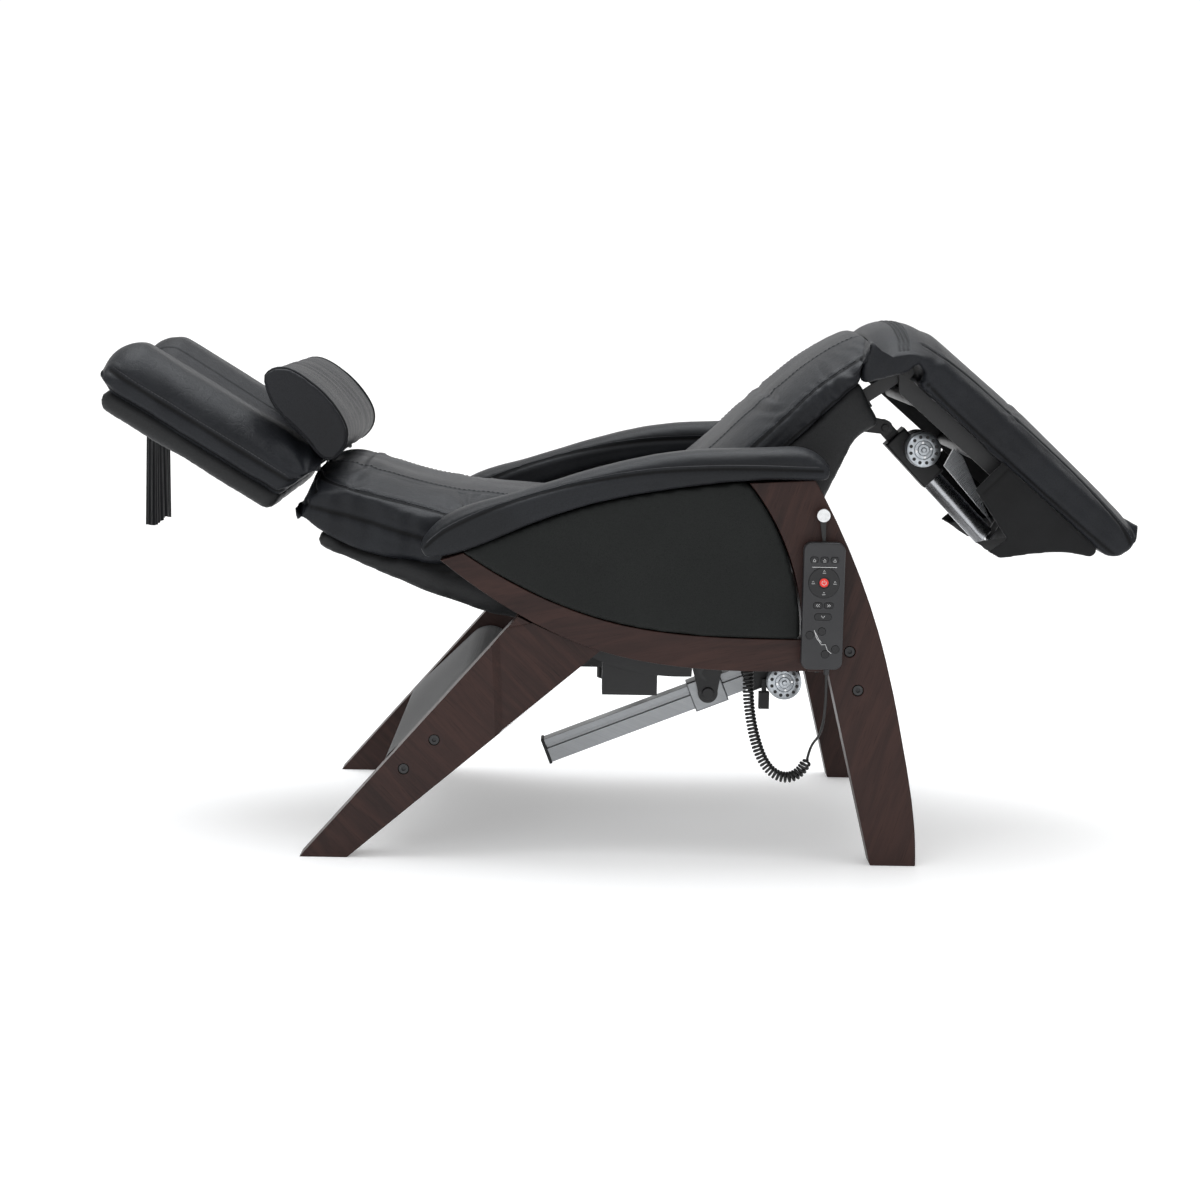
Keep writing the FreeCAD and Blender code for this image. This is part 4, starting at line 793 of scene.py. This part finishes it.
def make_leg():
    made = soft_copy("leg_cushion_cover", ["leg_cushion"], TOP_HIDE, 0.0068, 3)

    def drop(y, x):
        return rounded_side(y, CUSHION_HALF, 0.046 if x < 0.72 else 0.046 - 0.12 * (x - 0.72), 2.6)

    lower_edges(made, drop)
    inflate(made, BODY_PRESSURE, BODY_SWELL,
            lambda co: min(1.0, max(0.0, 1.0 - ((co - KNEE).dot(LEG_ALONG) - 0.10) / 0.10)))
    finer(made)

    def shape(co, normal):
        side = abs(normal.y)
        gathered = crease(co, (0.465, 0.80), 0.10)
        along = (co - KNEE).dot(LEG_ALONG)
        up = (co - KNEE).dot(LEG_UP)
        band = noise.noise(Vector((along * 34.0, up * 7.0, 2.0 if co.y > 0 else 8.0)))
        shift = 0.0026 * side ** 1.5 * band + 0.0009 * (1.0 - side) * wave(co, 13.0)
        return shift + 0.0046 * side ** 1.5 * gathered * noise.noise(Vector((along * 60.0, up * 14.0, 4.0)))

    push(made, shape)
    tops = [side_seam(made, [on_leg(-6, 50), on_leg(30, 55), on_leg(90, 60), on_leg(200, 61), on_leg(300, 60),
                             on_leg(372, 54), on_leg(425, 46), on_leg(455, 34)], side) for side in (-1, 1)]
    lows = [side_seam(made, [on_leg(12, 8), on_leg(80, 2), on_leg(180, 0), on_leg(300, 0), on_leg(400, 2),
                             on_leg(445, 4)], side) for side in (-1, 1)]
    crest = [top_seam(made, [(x - 0.004, -0.272), (x, -0.20), (x, 0.0), (x, 0.20), (x - 0.004, 0.272)])
             for x in (0.4490, 0.4560, 0.4630)]
    sew(made, tops + lows, 2.6 * MM, 4.5 * MM)
    sew(made, crest, 0.9 * MM, 2.0 * MM)
    settle(made, "leg_rest", "leather", "leg_cushion")
    stitches("leg_stitches", made, tops, Vector((0.003, 0, 0.006)), "leg_rest", "leather")
    stitches("crest_stitches", made, crest, Vector((0.0034, 0, 0)), "leg_rest", "leather", 7.0 * MM)


def make_pillow():
    made = soft_copy("neck_pillow_cover", ["neck_pillow"], PILLOW_HIDE, 0.0050, 3)
    inflate(made, SMALL_PRESSURE, SMALL_SWELL, lambda co: LIGHT_HOLD)
    finer(made)
    push(made, lambda co, normal: 0.0012 * wave(co, 18.0) * (1.0 - abs(normal.y))
         + 0.0014 * (1.0 - abs(normal.y)) * noise.noise(Vector((co.x * 12.0, co.y * 30.0, co.z * 12.0))))
    tree = tree_of(made)
    middle = sum((vertex.co for vertex in made.data.vertices), Vector()) / len(made.data.vertices)
    rings = []
    for side in (-1, 1):
        ring = []
        for step in range(72):
            turn = 2 * math.pi * step / 72
            ray = Vector((math.cos(turn), 0.0, math.sin(turn)))
            hit = tree.ray_cast(Vector((middle.x, side * 0.250, middle.z)) + ray * 0.3, -ray)[0]
            if hit:
                ring.append(hit)
        rings.append(ring)
    lines = [spaced(ring + [ring[0]], 0.002) for ring in rings]
    sew(made, lines, 1.6 * MM, 4.0 * MM)
    settle(made, "pillow", "leather", "neck_pillow")
    for name, ring in zip(("right", "left"), rings):
        bead = tube("pillow_piping_" + name, ring, 2.6 * MM, PILLOW_HIDE, closed=True)
        settle(bead, "pillow", "leather")
    stitches("pillow_stitches", made, lines, Vector((0, 0.006, 0)), "pillow", "leather")


def make_arms():
    made = soft_copy("arm_rest_right", ["arm_pad_right"], ARM_HIDE, 0.0055, 4)

    def drop(y, x):
        away = abs(y + 0.3525) / 0.0475
        return 0.013 * min(1.0, away) ** 3.0

    lower_edges(made, drop, -0.3525)
    inflate(made, SMALL_PRESSURE, SMALL_SWELL, lambda co: LIGHT_HOLD)
    finer(made)
    push(made, lambda co, normal: 0.0007 * wave(co, 22.0))
    outer = [(-0.3020, 0.504), (-0.2700, 0.530), (-0.2050, 0.562), (-0.1300, 0.589), (-0.0500, 0.610),
             (0.0500, 0.627), (0.1500, 0.634), (0.2300, 0.635), (0.3000, 0.634), (0.3180, 0.634)]
    lines = [side_seam(made, outer, -1)]
    tree = tree_of(made)
    inner = []
    for point in lines[0][::4]:
        hit = tree.ray_cast(Vector((point.x, -0.20, point.z)), Vector((0, -1, 0)))[0]
        if hit:
            inner.append(hit)
    lines.append(spaced(inner, 0.002))
    sew(made, lines, 1.8 * MM, 3.6 * MM)
    left = mirrored(made, "arm_rest_left")
    threads = stitches("arm_stitches_right", made, lines, Vector((0, 0, 0.006)), "base", "leather", 5.0 * MM)
    settle(mirrored(threads, "arm_stitches_left"), "base", "leather")
    for side, pad in (("right", made), ("left", left)):
        settle(pad, "base", "leather", "arm_pad_" + side)


def make_panels():
    made = soft_copy("side_cover_right", ["side_panel_right"], PANEL_HIDE, 0.0055, 2)
    finer(made)
    push(made, lambda co, normal: 0.0008 * wave(co, 9.0) + (0.0006 if normal.y < -0.9 else 0.0))
    left = mirrored(made, "side_cover_left")
    for side, cover in (("right", made), ("left", left)):
        settle(cover, "base", "panel_leather", "side_panel_" + side)


def make_underside():
    shell = soft_copy("seat_underside", ["seat_shell"], UNDER_HIDE, 0.0095, 4)
    push(shell, lambda co, normal: 0.0060 + 0.0030 * wave(co, 14.0) + 0.0022 * abs(normal.y) * noise.noise(
        Vector((co.x * 26.0, co.z * 8.0, 1.0))))
    lines = [side_seam(shell, [(-0.44, 0.505), (-0.34, 0.474), (-0.24, 0.440), (-0.15, 0.418)], side)
             for side in (-1, 1)]
    sew(shell, lines, 4.0 * MM, 8.0 * MM)
    settle(shell, "seat", "fabric", "seat_shell")
    board = soft_copy("head_underside", ["back_shell"], UNDER_HIDE, 0.006, 3)
    push(board, lambda co, normal: 0.0075 + 0.0026 * wave(co, 18.0))
    settle(board, "seat", "fabric", "back_shell")


def make_skirt():
    made = soft_copy("leg_skirt_cloth", ["leg_skirt"], UNDER_CLOTH, 0.0035, 1)
    push(made, lambda co, normal: 0.0009 * wave(co, 20.0))
    pocket = [side_seam(made, [on_leg(226, -8), on_leg(224, -40), on_leg(222, -66)], side)
              for side in (-1, 1)]
    sew(made, [line for line in pocket if len(line) > 2], 1.2 * MM, 3.0 * MM)
    settle(made, "leg_rest", "fabric", "leg_skirt")


def make_strap():
    """Flat strap that hangs from the back of the head cushion, gathered in upright pleats."""
    low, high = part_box("pillow_strap")
    bm = bmesh.new()
    bmesh.ops.create_grid(bm, x_segments=110, y_segments=48, size=0.5)
    for vertex in bm.verts:
        across, down = vertex.co.x, vertex.co.y + 0.5
        depth = 0.5 + 0.5 * down
        fold = (math.sin(across * 75.0) + 0.6 * math.sin(across * 31.0 + 1.3)) * 0.0022 * depth
        hang = 0.004 * math.sin(across * 5.0 + 0.6) * down
        y = across * (high.y - low.y) * (1.0 - 0.06 * down)
        z = high.z - down * (high.z - low.z) * (1.0 - 0.02 * math.sin(across * 9.0) * down)
        vertex.co = Vector(((low.x + high.x) / 2 + fold + hang, y, z))
    made = link("strap_cloth_piece", mesh_from(bm, "strap_cloth_piece", 180.0), STRAP_CLOTH)
    wall = made.modifiers.new("cloth", "SOLIDIFY")
    wall.thickness = 2.0 * MM
    wall.offset = 0.0
    settle(made, "strap", "fabric", "pillow_strap")


make_head()
make_seat()
make_leg()
make_pillow()
make_arms()
make_panels()
make_underside()
make_skirt()
make_strap()


# ---- frame, drives and fittings -----------------------------------------------------------------
for part_name, finish, width in (
        ("front_leg_right", FRONT_WOOD, 2.2), ("front_leg_left", FRONT_WOOD, 2.2),
        ("rear_leg_right", REAR_WOOD, 2.2), ("rear_leg_left", REAR_WOOD, 2.2),
        ("curved_rail_right", RAIL_WOOD, 1.6), ("curved_rail_left", RAIL_WOOD, 1.6),
        ("front_crossbeam", RAIL_WOOD, 2.0), ("rear_crossbeam", UNDER_CLOTH, 2.0),
        ("crossbeam_bolts", BLACK_STEEL, 0.5), ("actuator_clevis", BLACK_STEEL, 0.8),
        ("hip_bracket_right", BLACK_STEEL, 0.8), ("hip_bracket_left", BLACK_STEEL, 0.8),
        ("recline_bracket", BLACK_STEEL, 0.8), ("leg_actuator_mount", BLACK_STEEL, 0.8),
        ("knee_lugs", BLACK_STEEL, 0.8), ("leg_frame", BLACK_STEEL, 0.8), ("leg_bracket", BLACK_STEEL, 0.8),
        ("control_box", BLACK_PLASTIC, 1.5), ("air_pump", BLACK_PLASTIC, 1.5),
        ("recline_gearbox", BLACK_PLASTIC, 1.5), ("leg_gearbox", BLACK_PLASTIC, 1.5),
        ("motor_plug", BLACK_PLASTIC, 0.8), ("rail_end_cap", BLACK_PLASTIC, 1.0),
        ("recline_rail", RAIL_METAL, 0.6), ("recline_slider", RAIL_METAL, 0.8), ("leg_tube", TUBE_METAL, 0.6),
        ("leg_strut", TUBE_METAL, 0.6), ("leg_rod", BRIGHT, 0.5), ("recline_motor", ZINC, 0.8),
        ("leg_motor", ZINC, 0.8), ("handset_hook", BRIGHT, 0.8), ("handset_socket", BLACK_PLASTIC, 1.5),
        ("handset_case", CASE_PLASTIC, 1.2), ("handset_loop", CORD_JACKET, 0.5)):
    eased(part_name, finish, width * MM)

for node in NODES:
    if node.startswith("key_"):
        eased(node, RED_KEY if node == "key_power" else KEY_RUBBER, 0.35 * MM)


# ---- motor end covers ---------------------------------------------------------------------------
COVER_PROFILE = [(0.0, 8.0), (3.2, 8.0), (4.6, 6.6), (4.6, 4.4), (9.0, 4.4), (10.2, 2.0), (15.0, 1.6),
                 (16.4, 3.0), (27.4, 3.0), (29.2, 1.8), (29.6, 0.0), (29.6, -4.0)]
MOTOR_FACE = -0.066        # near face of both motors
HOLE_COUNT, HOLE_CIRCLE, HOLE_RADIUS, HOLE_DEPTH = 12, 22.2 * MM, 3.0 * MM, 0.5 * MM
SCREW_COUNT, SCREW_CIRCLE, SCREW_RADIUS, SCREW_DEPTH = 4, 12.6 * MM, 2.6 * MM, 3.0 * MM


def cover_ring(name, finish, slot, body, middle, count, first, circle, rise, segments, radii, depth):
    """Short round or six-sided pieces spaced evenly round the cover."""
    bm = bmesh.new()
    for step in range(count):
        turn = 2 * math.pi * (step + first) / count
        spot = Vector((middle[0] + circle * math.cos(turn), MOTOR_FACE - rise, middle[1] + circle * math.sin(turn)))
        bmesh.ops.create_cone(bm, cap_ends=True, segments=segments, radius1=radii[0], radius2=radii[1],
                              depth=depth, matrix=Matrix.Translation(spot) @ Matrix.Rotation(math.pi / 2, 4, "X"))
    settle(link(name, mesh_from(bm, name), finish), body, slot)


def motor_cover(name, middle, body):
    """Turned zinc cover with a raised rim, a stepped boss, four screws and a ring of round holes; each hole is a
    black disc laid on the cover as painted shade.
    """
    bm = bmesh.new()
    ring = [bm.verts.new((reach * MM, -rise * MM, 0.0)) for reach, rise in COVER_PROFILE]
    edges = [bm.edges.new(pair) for pair in zip(ring, ring[1:])]
    bmesh.ops.spin(bm, geom=ring + edges, cent=(0, 0, 0), axis=(0, 1, 0), angle=2 * math.pi, steps=64,
                   use_merge=True)
    bmesh.ops.remove_doubles(bm, verts=bm.verts, dist=1e-5)
    bmesh.ops.recalc_face_normals(bm, faces=bm.faces)
    bmesh.ops.translate(bm, verts=bm.verts, vec=(middle[0], MOTOR_FACE, middle[1]))
    settle(link(name, mesh_from(bm, name), ZINC), body, "zinc")
    # painted shade: black discs on the cover stand in for the dark inside of the holes
    cover_ring(name + "_hole_shade", BLACK_STEEL, "black_metal", body, middle, HOLE_COUNT, 0.5, HOLE_CIRCLE,
               3.1 * MM, 16, (HOLE_RADIUS, HOLE_RADIUS), HOLE_DEPTH)
    cover_ring(name + "_screws", BRIGHT, "zinc", body, middle, SCREW_COUNT, 0.1, SCREW_CIRCLE,
               3.0 * MM, 6, (SCREW_RADIUS, 2.2 * MM), SCREW_DEPTH)


motor_cover("recline_motor_cover", (0.2935, 0.244), "recline_drive")
motor_cover("leg_motor_cover", (0.5176, 0.6466), "leg_drive")


# ---- marks on the handset -----------------------------------------------------------------------
KEY_FACE = -0.4003


def printed(name, strokes, width):
    """Raised print: each stroke is a list of (x, z) in millimetres."""
    parts = bmesh.new()
    for stroke in strokes:
        bead = tube(name + "_stroke", [Vector((x * MM, KEY_FACE, z * MM)) for x, z in stroke], width * MM / 2,
                    WHITE_PRINT, sides=1)
        parts.from_mesh(bead.data)
        bpy.data.objects.remove(bead)
    settle(link(name, mesh_from(parts, name), WHITE_PRINT), "handset", "handset_plastic")


def arc(x, z, reach, start, end, steps=12):
    turns = [math.radians(start + (end - start) * step / steps) for step in range(steps + 1)]
    return [(x + reach * math.cos(turn), z + reach * math.sin(turn)) for turn in turns]


def make_marks():
    for index, x in enumerate((306.5, 322.5, 338.5)):
        printed("program_mark_%d" % index, [[(x - 2.2, 493.2), (x, 496.6), (x + 2.2, 493.2)],
                                            [(x - 2.2, 492.0), (x + 2.2, 492.0)]], 0.7)
    printed("program_line", [[(303.0, 483.6), (342.0, 483.6)]], 0.8)
    printed("power_mark", [arc(322.5, 459.0, 3.4, 125, 415), [(322.5, 459.6), (322.5, 463.4)]], 0.8)
    ring = []
    for turn in (0, 90, 180, 270):
        x = 322.5 + 17.0 * math.cos(math.radians(turn))
        z = 459.0 + 17.0 * math.sin(math.radians(turn))
        ring += [[(x - 2.6, z - 1.6), (x + 2.6, z - 1.6)],
                 [(x - 1.4, z + 0.8), (x, z + 2.6), (x + 1.4, z + 0.8)]]
    printed("ring_marks", ring, 0.7)
    for index, (x, way) in enumerate(((314.0, -1), (331.0, 1))):
        printed("zone_mark_%d" % index,
                [[(x - way * 2.4, 425.0), (x, 423.0), (x - way * 2.4, 421.0)],
                 [(x + way * 0.4, 425.0), (x + way * 2.8, 423.0), (x + way * 0.4, 421.0)]], 0.7)
    printed("mode_mark", [[(320.0, 407.0), (322.5, 403.4), (325.0, 407.0)]], 0.8)
    printed("chair_mark", [[(309.5, 384.0), (313.0, 372.0), (321.5, 361.0), (327.5, 361.5), (331.0, 352.0),
                            (337.0, 347.5)], [(311.5, 380.0), (317.0, 369.0), (321.0, 365.0)]], 0.9)


make_marks()


# ---- stage --------------------------------------------------------------------------------------
def make_stage():
    bm = bmesh.new()
    bmesh.ops.create_grid(bm, x_segments=1, y_segments=1, size=30.0)
    floor_finish = Finish("studio_floor", Roughness=0.55, Specular_IOR_Level=0.25, Emission_Color=colour(1, 1, 1),
                          Emission_Strength=0.26)
    clouds = floor_finish.mottle(floor_finish.place(), 0.6)
    tone = floor_finish.blend(clouds, colour(0.86, 0.86, 0.86), colour(0.88, 0.88, 0.88))
    floor = link("studio_floor", mesh_from(bm, "studio_floor"), floor_finish.wear(Base_Color=tone))


def soft_light(name, place, aim, size, power, tint=(1, 1, 1)):
    lamp = bpy.data.lights.new(name, "AREA")
    lamp.shape = "RECTANGLE"
    lamp.size, lamp.size_y = size
    lamp.energy = power
    lamp.color = tint
    holder = bpy.data.objects.new(name, lamp)
    scene.collection.objects.link(holder)
    holder.matrix_world = (Matrix.Translation(place)
                           @ (Vector(aim) - Vector(place)).to_track_quat("-Z", "Y").to_matrix().to_4x4())


make_stage()
soft_light("overhead", (-0.3, 0.5, 3.0), (0.0, 0.1, 0.4), (3.2, 2.2), 45, (0.88, 0.94, 1.0))
soft_light("front", (-1.6, -3.6, 2.2), (0.0, 0.0, 0.5), (2.4, 1.6), 26, (0.94, 0.97, 1.0))
sky = bpy.data.lights.new("ceiling", "SUN")
sky.energy = 1.75
sky.angle = math.radians(70)
ceiling = bpy.data.objects.new("ceiling", sky)
scene.collection.objects.link(ceiling)
ceiling.matrix_world = Matrix.Rotation(math.radians(-12), 4, "X")


def make_world():
    """White studio: bright round the horizon, dimmer overhead."""
    world = bpy.data.worlds.new("studio")
    scene.world = world
    world.use_nodes = True
    tree = world.node_tree
    back = tree.nodes["Background"]
    back.inputs["Color"].default_value = (1, 1, 1, 1)
    way = tree.nodes.new("ShaderNodeTexCoord")
    parts = tree.nodes.new("ShaderNodeSeparateXYZ")
    fade = tree.nodes.new("ShaderNodeMapRange")
    for socket, value in ((1, 0.14), (2, 0.45), (3, 1.05), (4, 0.50)):
        fade.inputs[socket].default_value = value
    tree.links.new(way.outputs["Generated"], parts.inputs[0])
    tree.links.new(parts.outputs["Z"], fade.inputs[0])
    tree.links.new(fade.outputs[0], back.inputs["Strength"])


make_world()
scene.view_settings.view_transform = "Standard"
